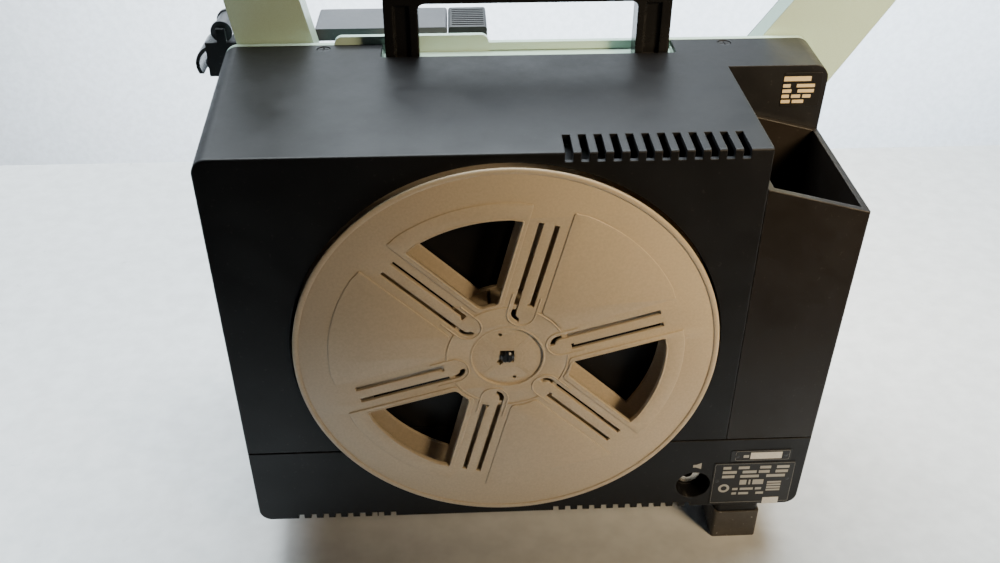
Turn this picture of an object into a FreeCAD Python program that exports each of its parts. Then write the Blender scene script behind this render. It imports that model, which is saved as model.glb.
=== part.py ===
import FreeCAD, Part
import math
import os

"""Compact 16 mm sound film projector with a film reel stored in its rear cover.

Millimetres. +X points to the projector's rear end (the lens looks along -X), +Y to the
operator's side and +Z up. While it is drawn, y = 0 is the face of the rear cover and x = 0 the
middle of that face. At the end everything is moved so that the origin is on the floor, under
the middle of the object's box.
"""

V = FreeCAD.Vector

# ---- driving dimensions -------------------------------------------------------------------
BODY_LENGTH = 356.0        # rear cover's face, at its top edge
FACE_HEIGHT = 259.0        # rear cover's face, from its bottom edge
COVER_DEPTH = 147.5        # from the face to the main casting
SIDE_DRAFT_FRONT = 9.0     # how much the lens end widens over the cover's depth
SIDE_DRAFT_REAR = 4.0      # the same at the rear end
TOP_DRAFT = 2.5            # how much the top rises over the cover's depth
FACE_TAPER_FRONT = 2.5     # how much narrower the face is at its bottom, lens end
FACE_TAPER_REAR = 6.0      # the same, rear end
CLEARANCE_BELOW = 34.0     # floor to the casing's underside
WALL = 3.0                 # moulded casing wall
TOP_CORNER_R = 9.0
BOTTOM_CORNER_R = 8.0
EDGE_R = 1.2
SEAM_HEIGHT = 57.5         # base tray's front height, under the seam
SEAM_GAP = 1.2

REEL_R = 122.0
REEL_X = -17.5
REEL_HEIGHT = 130.5        # reel centre above the casing's underside
REEL_PROUD = 4.2           # how far the reel stands out of the face
REEL_WIDTH = 20.8
FLANGE_T = 2.0
CORE_R = 36.5
HUB_RING_R = 34.8
HUB_DISC_R = 20.0
SQUARE_HOLE = 8.2
SPOKE_COUNT = 6
SPOKE_ANGLE = 16.0         # first pair of slots, from +X towards +Z
WELL_CLEARANCE = 1.5
WELL_DEPTH = 20.0
WELL_WALL = 2.5
SPINDLE_R = 4.0

POCKET_LENGTH = 59.0       # cord pocket's length along the casing
POCKET_DEPTH = 104.5
POCKET_WALL = 4.0
POCKET_RIM_NEAR = 24.0     # rim below the top, at the joint
POCKET_SLOPE = 15.5        # how much further the rim drops at the outer wall
PART_GAP = 0.4

LOUVRE_COUNT = 12
LOUVRE_PITCH = 8.33
LOUVRE_W = 4.2
LOUVRE_END = 13.7          # last slot to the pocket's joint
LOUVRE_REACH = 20.0
LOUVRE_DROP = 5.5

CASTING_DEPTH = 4.0        # visible rim of the main casting, behind the cover
WEB_T = 2.5
RIM_T = 5.0
ARM_GAP = 2.0
ARM_T = 18.5
FRONT_ARM_LENGTH = 250.0
FRONT_ARM_LEAN = 10.5
REAR_ARM_LENGTH = 250.0
REAR_ARM_LEAN = 34.0
ARM_PIVOT_R = 7.0
FRONT_PIVOT_INSET = 31.0   # arm pivots from the casing's ends
REAR_PIVOT_INSET = 35.0
FRONT_PIVOT_DROP = 44.0    # pivots below the casing's top
REAR_PIVOT_DROP = 64.0
ARM_SPINDLE_R = 3.95

HANDLE_WIDTH = 172.5
HANDLE_X = 1.0
HANDLE_LEG = 20.5
HANDLE_T = 15.0
HANDLE_OPENING = 37.0
HANDLE_SETBACK = 20.5      # cover's cut-out for the handle, from its rear edge
HANDLE_BAR = 25.0

MECH_PLATE_T = 3.0
PANEL_DEPTH = 62.5         # operator-side control housing, from the casting
PANEL_HEIGHT = 62.0
LENS_R = 19.0
LENS_Z = 176.0
GATE_SETBACK = 60.0        # film gate from the lens end
SHAFT_R = 3.0
RUN_FIT = 0.05
SCREW_R = 2.0

# ---- places that follow from them ---------------------------------------------------------
HALF = BODY_LENGTH / 2
POCKET_X = HALF - POCKET_LENGTH
GATE_X = -HALF + GATE_SETBACK
LOUVRE_X = POCKET_X - LOUVRE_END - (LOUVRE_COUNT - 1) * LOUVRE_PITCH
BASE_Z = CLEARANCE_BELOW
TOP_Z = BASE_Z + FACE_HEIGHT
SEAM_Z = BASE_Z + SEAM_HEIGHT
REEL_Z = BASE_Z + REEL_HEIGHT
WELL_R = REEL_R + WELL_CLEARANCE
REEL_FRONT_Y = -REEL_PROUD
REEL_BACK_Y = REEL_FRONT_Y + REEL_WIDTH
CASTING_Y = COVER_DEPTH + 0.3
CASTING_BACK_Y = CASTING_Y + CASTING_DEPTH
WEB_Y = CASTING_Y + 1.5
ARM_Y = CASTING_BACK_Y + ARM_GAP
ARM_BACK_Y = ARM_Y + ARM_T
PLATE_Y = ARM_BACK_Y + ARM_GAP
PLATE_BACK_Y = PLATE_Y + MECH_PLATE_T
FILM_Y = PLATE_BACK_Y + 20.0
PANEL_Y = CASTING_BACK_Y + 0.3
PANEL_BACK_Y = PANEL_Y + PANEL_DEPTH
PANEL_TOP_Z = BASE_Z + 2.0 + PANEL_HEIGHT
FRONT_PIVOT = V(-HALF + FRONT_PIVOT_INSET, 0, TOP_Z - FRONT_PIVOT_DROP)
REAR_PIVOT = V(HALF - REAR_PIVOT_INSET, 0, TOP_Z - REAR_PIVOT_DROP)


# ---- small helpers ------------------------------------------------------------------------
def box(x0, x1, y0, y1, z0, z1):
    """Box between two corners."""
    return Part.makeBox(x1 - x0, y1 - y0, z1 - z0, V(x0, y0, z0))


def rod(x, z, r, y0, y1):
    """Cylinder along Y."""
    return Part.makeCylinder(r, y1 - y0, V(x, y0, z), V(0, 1, 0))


def tube(x, z, r_out, r_in, y0, y1):
    """Hollow cylinder along Y."""
    return rod(x, z, r_out, y0, y1).cut(rod(x, z, r_in, y0 - 1, y1 + 1))


def rod_x(y, z, r, x0, x1):
    """Cylinder along X."""
    return Part.makeCylinder(r, x1 - x0, V(x0, y, z), V(1, 0, 0))


def rod_z(x, y, r, z0, z1):
    """Cylinder along Z."""
    return Part.makeCylinder(r, z1 - z0, V(x, y, z0), V(0, 0, 1))


def fuse(shapes):
    """One clean solid from several that touch."""
    whole = shapes[0]
    for shape in shapes[1:]:
        whole = whole.fuse(shape)
    return whole.removeSplitter()


def group(shapes):
    """Separate solids kept in one node."""
    return Part.makeCompound(shapes)


def parallel_edges(shape, direction, tol=1e-3):
    """Straight edges of a shape that run along a direction."""
    wanted = V(*direction)
    found = []
    for edge in shape.Edges:
        if not isinstance(edge.Curve, Part.Line):
            continue
        if edge.tangentAt(edge.FirstParameter).cross(wanted).Length < tol:
            found.append(edge)
    return found


def rounded_box(x0, x1, y0, y1, z0, z1, r, direction=(0, 1, 0)):
    """Box whose four edges along a direction are rounded."""
    block = box(x0, x1, y0, y1, z0, z1)
    return block.makeFillet(r, parallel_edges(block, direction))


def soft_box(x0, x1, y0, y1, z0, z1, r):
    """Box with every edge rounded."""
    block = box(x0, x1, y0, y1, z0, z1)
    return block.makeFillet(r, block.Edges)


def side_x(end, y, z):
    """Outside of the casing's drafted end wall at a depth and height."""
    depth = min(y, COVER_DEPTH) / COVER_DEPTH
    drop = 1 - (z - BASE_Z) / FACE_HEIGHT
    if end < 0:
        return -HALF + FACE_TAPER_FRONT * drop - SIDE_DRAFT_FRONT * depth
    return HALF - FACE_TAPER_REAR * drop + SIDE_DRAFT_REAR * depth


def top_z(y):
    """Height of the casing's top at a depth."""
    return TOP_Z + TOP_DRAFT * min(y, COVER_DEPTH) / COVER_DEPTH


def casing(y0, y1, inset):
    """Solid inside the casing's walls, moved in by inset, between two depths."""
    corners = []
    for y in (y0, y1):
        low = BASE_Z + inset
        high = top_z(y) - inset
        corners.append([
            V(side_x(-1, y, low) + inset, y, low),
            V(side_x(1, y, low) - inset, y, low),
            V(side_x(1, y, high) - inset, y, high),
            V(side_x(-1, y, high) + inset, y, high),
        ])
    near, far = corners
    outlines = [near, far]
    for i in range(4):
        j = (i + 1) % 4
        outlines.append([near[i], near[j], far[j], far[i]])
    faces = [Part.Face(Part.makePolygon(points + [points[0]])) for points in outlines]
    solid = Part.Solid(Part.makeShell(faces))
    if solid.Volume < 0:
        solid.reverse()
    long_edges = []
    for edge in solid.Edges:
        along = abs(edge.Vertexes[0].Y - edge.Vertexes[1].Y)
        if along > 0.5 * (y1 - y0):
            long_edges.append(edge)
    high_edges = [e for e in long_edges if e.CenterOfMass.z > REEL_Z]
    low_edges = [e for e in long_edges if e.CenterOfMass.z <= REEL_Z]
    solid = solid.makeFillet(max(TOP_CORNER_R - inset, 1.0), high_edges)
    low_edges = [e for e in solid.Edges
                 if any((e.CenterOfMass - old.CenterOfMass).Length < 0.5 for old in low_edges)]
    return solid.makeFillet(max(BOTTOM_CORNER_R - inset, 1.0), low_edges)


def turned(shape, pivot, lean):
    """Shape leaned towards +X about an axis along Y."""
    copy = shape.copy()
    copy.rotate(V(pivot.x, 0, pivot.z), V(0, 1, 0), lean)
    return copy


# ---- casing -------------------------------------------------------------------------------
def reel_well():
    """Round tub that the stored reel sits in."""
    return rod(REEL_X, REEL_Z, WELL_R + WELL_WALL, 0.5, WELL_DEPTH + WELL_WALL)


def well_space():
    """Space inside the tub."""
    return rod(REEL_X, REEL_Z, WELL_R, -5, WELL_DEPTH)


def notch(grow):
    """Corner of the casing that the cord pocket takes, grown by a wall."""
    return box(POCKET_X - grow, HALF + 40, -5, POCKET_DEPTH + grow, SEAM_Z - 40, TOP_Z + 20)


def louvre_cuts():
    """Slots that wrap over the top near edge."""
    cuts = []
    for i in range(LOUVRE_COUNT):
        x = LOUVRE_X + i * LOUVRE_PITCH
        cuts.append(box(x - LOUVRE_W / 2, x + LOUVRE_W / 2, -2, LOUVRE_REACH,
                        TOP_Z - LOUVRE_DROP, TOP_Z + 5))
    return cuts


HANDLE_LEFT = HANDLE_X - HANDLE_WIDTH / 2
HANDLE_RIGHT = HANDLE_X + HANDLE_WIDTH / 2
CUTOUT_LEFT = HANDLE_LEFT - 2.5
CUTOUT_RIGHT = HANDLE_RIGHT + 4.5
CUTOUT_Y = COVER_DEPTH - HANDLE_SETBACK
COVER_SCREWS = [(-HALF + 54, COVER_DEPTH - 6), (HALF - 53, COVER_DEPTH - 6)]


def rear_cover():
    """Moulded cover over the non-operator side, with the upper part of the reel well."""
    upper = box(-HALF - 60, HALF + 60, -20, COVER_DEPTH + 20, SEAM_Z + SEAM_GAP, TOP_Z + 40)
    outer = casing(0, COVER_DEPTH, 0)
    rim = [e for e in outer.Edges if abs(e.BoundBox.YMax) < 1e-3]
    outer = outer.makeFillet(EDGE_R, rim)
    outer = outer.cut(notch(0)).common(upper)
    hollow = casing(WALL, COVER_DEPTH + 2, WALL).cut(notch(WALL))
    shell = outer.cut(hollow)
    shell = shell.fuse(reel_well().common(upper).common(outer)).cut(well_space())
    cutout = rounded_box(CUTOUT_LEFT - 0.5, CUTOUT_RIGHT + 0.5, CUTOUT_Y, COVER_DEPTH + 20,
                         TOP_Z - WALL - 2, TOP_Z + 20, 2, (0, 0, 1))
    shell = shell.cut(cutout)
    shell = shell.cut(Part.makeCompound(louvre_cuts()))
    for x, y in COVER_SCREWS:
        shell = shell.cut(rod_z(x, y, SCREW_R + 0.2, TOP_Z - 8, TOP_Z + 8))
        shell = shell.cut(rod_z(x, y, SCREW_R + 2.2, top_z(y) - 1.6, TOP_Z + 8))
    return shell.removeSplitter()


FOOT_X = HALF - 42
FOOT_W = 30.0
FOOT_H = 23.0
FOOT_Y = (4.0, PANEL_BACK_Y - 34.0)
JACK_X = POCKET_X - 16.5
JACK_Z = BASE_Z + 19.5
JACK_RECESS_R = 11.0
ELEVATOR_X = -HALF + 40
ELEVATOR_Y = 96.0
ELEVATOR_R = 7.0
VENT_PITCH = 7.8
VENT_GROUPS = [(-HALF + 27, 7), (-HALF + 78, 2), (13.0, 12)]


def base_tray():
    """Moulded tray that closes the bottom and carries the feet."""
    lower = box(-HALF - 60, HALF + 60, -20, COVER_DEPTH + 20, BASE_Z - 1, SEAM_Z)
    outer = casing(0, COVER_DEPTH, 0)
    rim = [e for e in outer.Edges if abs(e.BoundBox.YMax) < 1e-3]
    outer = outer.makeFillet(EDGE_R, rim).common(lower)
    shell = outer.cut(casing(WALL, COVER_DEPTH + 2, WALL))
    shell = shell.fuse(reel_well().common(lower).common(outer)).cut(well_space())
    boss = rod(JACK_X, JACK_Z, JACK_RECESS_R + 2, 1, 14)
    shell = shell.fuse(boss).cut(rod(JACK_X, JACK_Z, JACK_RECESS_R, -5, 12))
    shell = shell.cut(rod(JACK_X - 2, JACK_Z + 2, 6.2, 5, 20))
    foot_boss = rounded_box(FOOT_X - FOOT_W / 2 + 1, FOOT_X + FOOT_W / 2 - 1, FOOT_Y[0] + 1,
                            FOOT_Y[0] + FOOT_W - 1, FOOT_H, BASE_Z + WALL, 3, (0, 0, 1))
    sleeve = rod_z(ELEVATOR_X, ELEVATOR_Y, ELEVATOR_R + 4, BASE_Z + 0.5, SEAM_Z - 8)
    shell = shell.fuse(foot_boss).fuse(sleeve)
    shell = shell.cut(rod_z(ELEVATOR_X, ELEVATOR_Y, ELEVATOR_R + RUN_FIT, 0, SEAM_Z))
    for first, count in VENT_GROUPS:
        for i in range(count):
            x = first + i * VENT_PITCH
            shell = shell.cut(box(x, x + 3.6, -2, 24, BASE_Z - 2, BASE_Z + 2.6 + WALL * 0.5))
    return shell.removeSplitter()


def cord_pocket():
    """Open-topped bin for the mains lead, in the casing's rear corner."""
    outer = casing(0, COVER_DEPTH, 0)
    rim = [e for e in outer.Edges if abs(e.BoundBox.YMax) < 1e-3]
    outer = outer.makeFillet(EDGE_R, rim)
    region = box(POCKET_X + PART_GAP, HALF + 40, -5, POCKET_DEPTH - PART_GAP,
                 SEAM_Z + SEAM_GAP, TOP_Z + 20)
    solid = outer.common(region)
    hollow = casing(POCKET_WALL, COVER_DEPTH, POCKET_WALL).common(
        box(POCKET_X + PART_GAP + POCKET_WALL, HALF + 40, 0, POCKET_DEPTH - PART_GAP - POCKET_WALL,
            SEAM_Z + SEAM_GAP + POCKET_WALL, TOP_Z + 20))
    hollow = hollow.fuse(hollow.translated(V(0, 0, 20)))
    solid = solid.cut(hollow)
    slope = math.degrees(math.atan2(POCKET_SLOPE, HALF - POCKET_X))
    above = box(POCKET_X - 40, HALF + 80, -20, POCKET_DEPTH + 20, 0, 80)
    above.rotate(V(POCKET_X, 0, 0), V(0, 1, 0), slope)
    above.translate(V(0, 0, TOP_Z - POCKET_RIM_NEAR))
    return solid.cut(above).removeSplitter()


LABEL_T = 0.4


def small_plate(x0, x1, z0, z1, y_face, t):
    """Thin label plate with round corners, standing on a face that looks along -Y."""
    return rounded_box(x0, x1, y_face - t, y_face, z0, z1, 1.0)


RATING_PLATE = (POCKET_X - 4.5, HALF - 11.5, BASE_Z + 2.0, BASE_Z + 38.0)
VOLTAGE_PLATE = (POCKET_X + 5.0, HALF - 15.5, BASE_Z + 39.5, BASE_Z + 48.5)
NOTICE_PLATE = (HALF - 24.0, HALF - 0.5, TOP_Z - 24.5, TOP_Z - 3.0)


def label_plates():
    """Blank plates: rating and voltage on the tray, notice above the pocket."""
    return group([
        small_plate(*RATING_PLATE, 0, LABEL_T),
        small_plate(*VOLTAGE_PLATE, 0, LABEL_T),
        small_plate(*NOTICE_PLATE, POCKET_DEPTH, LABEL_T),
    ])


# ---- main casting -------------------------------------------------------------------------
RAISED_X = (-118.0, -22.0)
RAISED_H = 5.0
RAIL_H = 12.0


def arm_boss(pivot, r):
    """Round seat on the casting behind an arm's pivot."""
    return rod(pivot.x, pivot.z, r, WEB_Y, CASTING_BACK_Y)


def main_casting():
    """Die-cast chassis: a rimmed web across the whole machine."""
    visible = casing(CASTING_Y, CASTING_BACK_Y, 0).cut(casing(CASTING_Y - 1, CASTING_BACK_Y + 1, RIM_T))
    step = WALL + 0.4
    hidden = casing(CUTOUT_Y, CASTING_Y, step).cut(casing(CUTOUT_Y - 1, CASTING_Y + 1, step + RIM_T))
    web = casing(WEB_Y, WEB_Y + WEB_T, RIM_T / 2)
    rail = box(CUTOUT_LEFT, CUTOUT_RIGHT, CUTOUT_Y + 0.5, CASTING_Y + 1,
               TOP_Z - WALL - RAIL_H, TOP_Z - WALL)
    raised = box(RAISED_X[0], RAISED_X[1], CASTING_Y, CASTING_BACK_Y,
                 TOP_Z - 12, TOP_Z + TOP_DRAFT + RAISED_H)
    corner_edges = [e for e in parallel_edges(raised, (0, 1, 0)) if e.CenterOfMass.z > TOP_Z]
    raised = raised.makeFillet(5, corner_edges)
    pieces = [visible, hidden, web, rail, raised, arm_boss(FRONT_PIVOT, 20), arm_boss(REAR_PIVOT, 20)]
    for x, z in PLATE_POSTS:
        pieces.append(rod(x, z, 5, WEB_Y + WEB_T, PLATE_Y))
    body = fuse(pieces)
    body = body.cut(box(CUTOUT_LEFT, CUTOUT_RIGHT, CUTOUT_Y - 1, CASTING_Y,
                        HANDLE_BASE_Z, TOP_Z + 10))
    for pivot in (FRONT_PIVOT, REAR_PIVOT):
        body = body.cut(rod(pivot.x, pivot.z, ARM_PIVOT_R, WEB_Y - 5, CASTING_BACK_Y + 5))
    for x, y in COVER_SCREWS:
        body = body.cut(rod_z(x, y, SCREW_R, TOP_Z - 14, TOP_Z + 5))
    for x, z, r in SHAFT_HOLES:
        body = body.cut(rod(x, z, r, WEB_Y - 5, WEB_Y + WEB_T + 5))
    for x in HANDLE_SCREWS:
        body = body.cut(rod_z(x, HANDLE_MID_Y, SCREW_R + 0.5, TOP_Z - 40, TOP_Z + 5))
    return body.removeSplitter()


# ---- handle -------------------------------------------------------------------------------
HANDLE_Y = CUTOUT_Y + 1.5
HANDLE_MID_Y = HANDLE_Y + HANDLE_T / 2
HANDLE_BASE_Z = TOP_Z - WALL
HANDLE_TOP_Z = HANDLE_BASE_Z + HANDLE_OPENING + HANDLE_BAR
HANDLE_SCREWS = [HANDLE_LEFT + HANDLE_LEG / 2, HANDLE_RIGHT - HANDLE_LEG / 2]


def top_handle():
    """Moulded carrying handle, a squared U with a channel down each leg."""
    outer = box(HANDLE_LEFT, HANDLE_RIGHT, HANDLE_Y, HANDLE_Y + HANDLE_T, HANDLE_BASE_Z, HANDLE_TOP_Z)
    top_edges = [e for e in parallel_edges(outer, (0, 1, 0)) if e.CenterOfMass.z > HANDLE_TOP_Z - 1]
    outer = outer.makeFillet(10, top_edges)
    hole = box(HANDLE_LEFT + HANDLE_LEG, HANDLE_RIGHT - HANDLE_LEG, HANDLE_Y - 1,
               HANDLE_Y + HANDLE_T + 1, HANDLE_BASE_Z - 1, HANDLE_BASE_Z + HANDLE_OPENING)
    hole_edges = [e for e in parallel_edges(hole, (0, 1, 0)) if e.CenterOfMass.z > HANDLE_BASE_Z]
    body = outer.cut(hole.makeFillet(4, hole_edges))
    for x0, x1 in ((HANDLE_LEFT + 6, HANDLE_LEFT + HANDLE_LEG - 5),
                   (HANDLE_RIGHT - HANDLE_LEG + 5, HANDLE_RIGHT - 6)):
        body = body.cut(box(x0, x1, HANDLE_Y - 1, HANDLE_Y + 3, HANDLE_BASE_Z + 3,
                            HANDLE_BASE_Z + HANDLE_OPENING - 1))
    for x in HANDLE_SCREWS:
        body = body.cut(rod_z(x, HANDLE_MID_Y, SCREW_R, HANDLE_BASE_Z - 1, HANDLE_BASE_Z + 16))
    return body


# ---- reel ---------------------------------------------------------------------------------
STEP_R = 0.84 * REEL_R
WINDOW_R = (HUB_RING_R + 3.2, 0.75 * REEL_R)
WINDOW_OFFSET = 14.3
SLOT_R = (HUB_RING_R + 3.2, 0.745 * REEL_R)
SLOT_W = 2.6
SLOT_OFFSET = 4.4


def radial_box(angle, r0, r1, side, half_width, y0, y1):
    """Box along a spoke at an angle, shifted sideways from its centre line."""
    bar = box(r0, r1, y0, y1, side - half_width, side + half_width)
    bar.rotate(V(0, 0, 0), V(0, -1, 0), angle)
    bar.translate(V(REEL_X, 0, REEL_Z))
    return bar


def spoke_angles():
    """Centre lines of the paired slots."""
    return [SPOKE_ANGLE + i * 360.0 / SPOKE_COUNT for i in range(SPOKE_COUNT)]


def flange(y_in, y_out):
    """Reel flange with rim bead, raised middle, slot pairs and three windows."""
    y0, y1 = sorted((y_in, y_out))
    outward = 1 if y_out > y_in else -1
    bead_y = sorted((y_out, y_in - outward * 0.8))
    disc = rod(REEL_X, REEL_Z, REEL_R, y0, y1)
    bead = tube(REEL_X, REEL_Z, REEL_R, REEL_R - 2.6, *bead_y)
    disc = disc.fuse(bead)
    face_cut = sorted((y_out - outward * 0.4, y_out + outward))
    disc = disc.cut(tube(REEL_X, REEL_Z, REEL_R - 2.6, STEP_R, *face_cut))
    disc = disc.cut(rod(REEL_X, REEL_Z, HUB_DISC_R, *sorted((y_out - outward * 0.7, y_out + outward))))
    ring_cut = sorted((y_out - outward * 0.3, y_out + outward))
    disc = disc.cut(tube(REEL_X, REEL_Z, HUB_RING_R + 0.6, HUB_RING_R - 0.6, *ring_cut))
    cuts = []
    for angle in spoke_angles():
        for side in (-SLOT_OFFSET, SLOT_OFFSET):
            cuts.append(radial_box(angle, SLOT_R[0], SLOT_R[1], side, SLOT_W / 2, y0 - 2, y1 + 2))
    ring = tube(REEL_X, REEL_Z, WINDOW_R[1], WINDOW_R[0], y0 - 2, y1 + 2)
    for i in range(0, SPOKE_COUNT, 2):
        low = SPOKE_ANGLE + (i + 1) * 60.0
        wedge = radial_box(low, 0, REEL_R, REEL_R / 2 + WINDOW_OFFSET, REEL_R / 2, y0 - 2, y1 + 2)
        other = radial_box(low + 60, 0, REEL_R, -REEL_R / 2 - WINDOW_OFFSET, REEL_R / 2, y0 - 2, y1 + 2)
        cuts.append(ring.common(wedge).common(other))
    disc = disc.cut(Part.makeCompound(cuts))
    half = SQUARE_HOLE / 2
    square = box(REEL_X - half, REEL_X + half, y0 - 2, y1 + 2, REEL_Z - half, REEL_Z + half)
    key = radial_box(225, 0, 7.6, 0, 1.6, y0 - 2, y1 + 2)
    disc = disc.cut(square).cut(key)
    for angle in (105, -75):
        x = REEL_X + 16 * math.cos(math.radians(angle))
        z = REEL_Z + 16 * math.sin(math.radians(angle))
        disc = disc.cut(rod(x, z, 1.2, y0 - 2, y1 + 2))
    return disc.removeSplitter()


def reel_core():
    """Hub drum between the flanges, with a film-catch slot and a square sleeve."""
    y0 = REEL_FRONT_Y + FLANGE_T
    y1 = REEL_BACK_Y - FLANGE_T
    drum = tube(REEL_X, REEL_Z, CORE_R, CORE_R - 3, y0, y1)
    sleeve = rod(REEL_X, REEL_Z, 9, y0, y1)
    half = SQUARE_HOLE / 2
    sleeve = sleeve.cut(box(REEL_X - half, REEL_X + half, y0 - 1, y1 + 1, REEL_Z - half, REEL_Z + half))
    sleeve = sleeve.cut(radial_box(225, 0, 7.6, 0, 1.6, y0 - 1, y1 + 1))
    ribs = [radial_box(a, 8.5, CORE_R - 2, 0, 1.2, y0, y1) for a in (45, 135, 225, 315)]
    body = fuse([drum, sleeve] + ribs)
    return body.cut(radial_box(225, 0, 7.6, 0, 1.6, y0 - 1, y1 + 1)).cut(
        radial_box(106, CORE_R - 6, CORE_R + 2, 0, 1.0, y0 - 1, y1 + 1))


def storage_spindle():
    """Round post that turns in the well's floor and holds the stored reel."""
    shank = rod(REEL_X, REEL_Z, SPINDLE_R, REEL_FRONT_Y + 1.0, WELL_DEPTH + WELL_WALL + 8)
    tip = Part.makeCone(SPINDLE_R - 1.2, SPINDLE_R, 1.2, V(REEL_X, REEL_FRONT_Y - 0.2, REEL_Z), V(0, 1, 0))
    collar = rod(REEL_X, REEL_Z, 9, WELL_DEPTH + WELL_WALL + 0.3, WELL_DEPTH + WELL_WALL + 3)
    shoulder = rod(REEL_X, REEL_Z, 9, REEL_BACK_Y + 0.4, WELL_DEPTH - 0.3)
    slot = box(REEL_X - 0.8, REEL_X + 0.8, REEL_FRONT_Y - 1, REEL_FRONT_Y + 2, REEL_Z - 6, REEL_Z + 6)
    return fuse([shank, tip, collar, shoulder]).cut(slot)


# ---- reel arms ----------------------------------------------------------------------------
def arm_blank(pivot, length, base_r, tip_r, y0, y1):
    """Tapered arm with round ends, standing upright over its pivot."""
    tip = pivot.z + length
    spread = math.asin((base_r - tip_r) / length)
    points = []
    for side in (-1, 1):
        across = side * math.cos(spread)
        rise = math.sin(spread)
        points.append(V(pivot.x + base_r * across, y0, pivot.z + base_r * rise))
        points.append(V(pivot.x + tip_r * across, y0, tip + tip_r * rise))
    outline = [points[0], points[1], points[3], points[2], points[0]]
    web = Part.Face(Part.makePolygon(outline)).extrude(V(0, y1 - y0, 0))
    return fuse([web, rod(pivot.x, pivot.z, base_r, y0, y1), rod(pivot.x, tip, tip_r, y0, y1)])


FRONT_ARM_R = (25.0, 17.0)  # radii of an arm's ends, at its pivot and at its spindle
REAR_ARM_R = (31.0, 22.0)
ARM_WALL = 3.0
ARM_COVER_T = 2.0


def arm_shell(pivot, length, lean, ends):
    """Die-cast reel arm, a channel open to the operator's side and closed by a cover."""
    base_r, tip_r = ends
    body = arm_blank(pivot, length, base_r, tip_r, ARM_Y, ARM_BACK_Y - ARM_COVER_T)
    pocket = arm_blank(pivot, length, base_r - ARM_WALL, tip_r - ARM_WALL, ARM_Y + ARM_WALL, ARM_BACK_Y)
    body = body.cut(pocket)
    body = body.fuse(rod(pivot.x, pivot.z, ARM_PIVOT_R + 4, ARM_Y, ARM_BACK_Y - ARM_COVER_T))
    body = body.fuse(rod(pivot.x, pivot.z + length, ARM_SPINDLE_R + 4, ARM_Y, ARM_BACK_Y - ARM_COVER_T))
    body = body.cut(rod(pivot.x, pivot.z + length, ARM_SPINDLE_R + RUN_FIT, ARM_Y - 5, ARM_BACK_Y + 5))
    stub = rod(pivot.x, pivot.z, ARM_PIVOT_R - RUN_FIT, WEB_Y, ARM_Y + 1)
    return turned(fuse([body, stub]), pivot, lean)


def arm_cover(pivot, length, lean, ends):
    """Black plate that closes an arm's channel."""
    plate = arm_blank(pivot, length, ends[0] - 0.5, ends[1] - 0.5, ARM_BACK_Y - ARM_COVER_T, ARM_BACK_Y)
    plate = plate.cut(rod(pivot.x, pivot.z + length, ARM_SPINDLE_R + RUN_FIT, ARM_Y, ARM_BACK_Y + 5))
    return turned(plate, pivot, lean)


def arm_spindle(pivot, length, lean):
    """Reel spindle: a square shoulder, a round nose and a spring catch."""
    z = pivot.z + length
    shaft = rod(pivot.x, z, ARM_SPINDLE_R, ARM_Y - 3, ARM_BACK_Y + 27)
    washer = rod(pivot.x, z, 13, ARM_BACK_Y + 0.4, ARM_BACK_Y + 3)
    half = SQUARE_HOLE / 2 - 0.15
    square = box(pivot.x - half, pivot.x + half, ARM_BACK_Y + 3, ARM_BACK_Y + 8, z - half, z + half)
    nut = rod(pivot.x, z, 7, ARM_Y - 3, ARM_Y - 0.4)
    return turned(fuse([shaft, washer, square, nut]), pivot, lean)


# ---- operator side ------------------------------------------------------------------------
PLATE_POSTS = [(-HALF + 48, BASE_Z + 76), (HALF - 48, BASE_Z + 76), (-HALF + 70, TOP_Z - 28),
               (HALF - 78, TOP_Z - 28)]
SPROCKETS = [("feed_sprocket", -70.0, 240.0), ("holdback_sprocket", -84.0, 118.0)]
SPROCKET_R = 11.0
DRUM_X = -58.0
DRUM_Z = 108.0
DRUM_R = 9.0
MAIN_X = 8.0
MAIN_Z = 134.0
MOTOR_X = 62.0
MOTOR_Z = 190.0
MOTOR_R = 36.0
MOTOR_CASE_Y = (88.0, 132.0)
SHUTTER_X = GATE_X + 26
SHUTTER_R = 15.0
SHAFT_HOLES = [(x, z, SHAFT_R + RUN_FIT) for _, x, z in SPROCKETS]
SHAFT_HOLES += [(DRUM_X, DRUM_Z, SHAFT_R + RUN_FIT), (MAIN_X, MAIN_Z, SHAFT_R + RUN_FIT)]
SHAFT_HOLES += [(SHUTTER_X, LENS_Z, SHAFT_R + RUN_FIT), (MOTOR_X, MOTOR_Z, SHAFT_R + 4)]


def mechanism_plate():
    """Steel plate that carries the film path."""
    plate = rounded_box(-HALF + 6, HALF - 6, PLATE_Y, PLATE_BACK_Y, PANEL_TOP_Z + 1, TOP_Z - 9, 8)
    for x, z, r in SHAFT_HOLES[:-1]:
        plate = plate.cut(rod(x, z, r, PLATE_Y - 1, PLATE_BACK_Y + 1))
    return plate.fuse(rod(LOOP_X + 40, LOOP_Z, 3, PLATE_BACK_Y - 1, PLATE_BACK_Y + 11))


def sprocket(x, z):
    """Sprocket drum with its teeth, shaft and driven pulley."""
    y0 = FILM_Y - 9
    y1 = FILM_Y + 9
    shaft = rod(x, z, SHAFT_R, WEB_Y - 12, y1 + 1)
    drum = rod(x, z, SPROCKET_R - 1.5, y0, y1)
    flanges = [rod(x, z, SPROCKET_R, y0, y0 + 4), rod(x, z, SPROCKET_R, y1 - 4, y1)]
    pulley = rod(x, z, 14, WEB_Y - 10, WEB_Y - 3)
    teeth = []
    for i in range(8):
        tooth = box(SPROCKET_R - 1, SPROCKET_R + 1.2, y0 + 1.2, y0 + 2.4, -0.8, 0.8)
        tooth.rotate(V(0, 0, 0), V(0, 1, 0), i * 45)
        tooth.translate(V(x, 0, z))
        teeth.append(tooth)
    return fuse([shaft, drum, pulley] + flanges + teeth)


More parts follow.
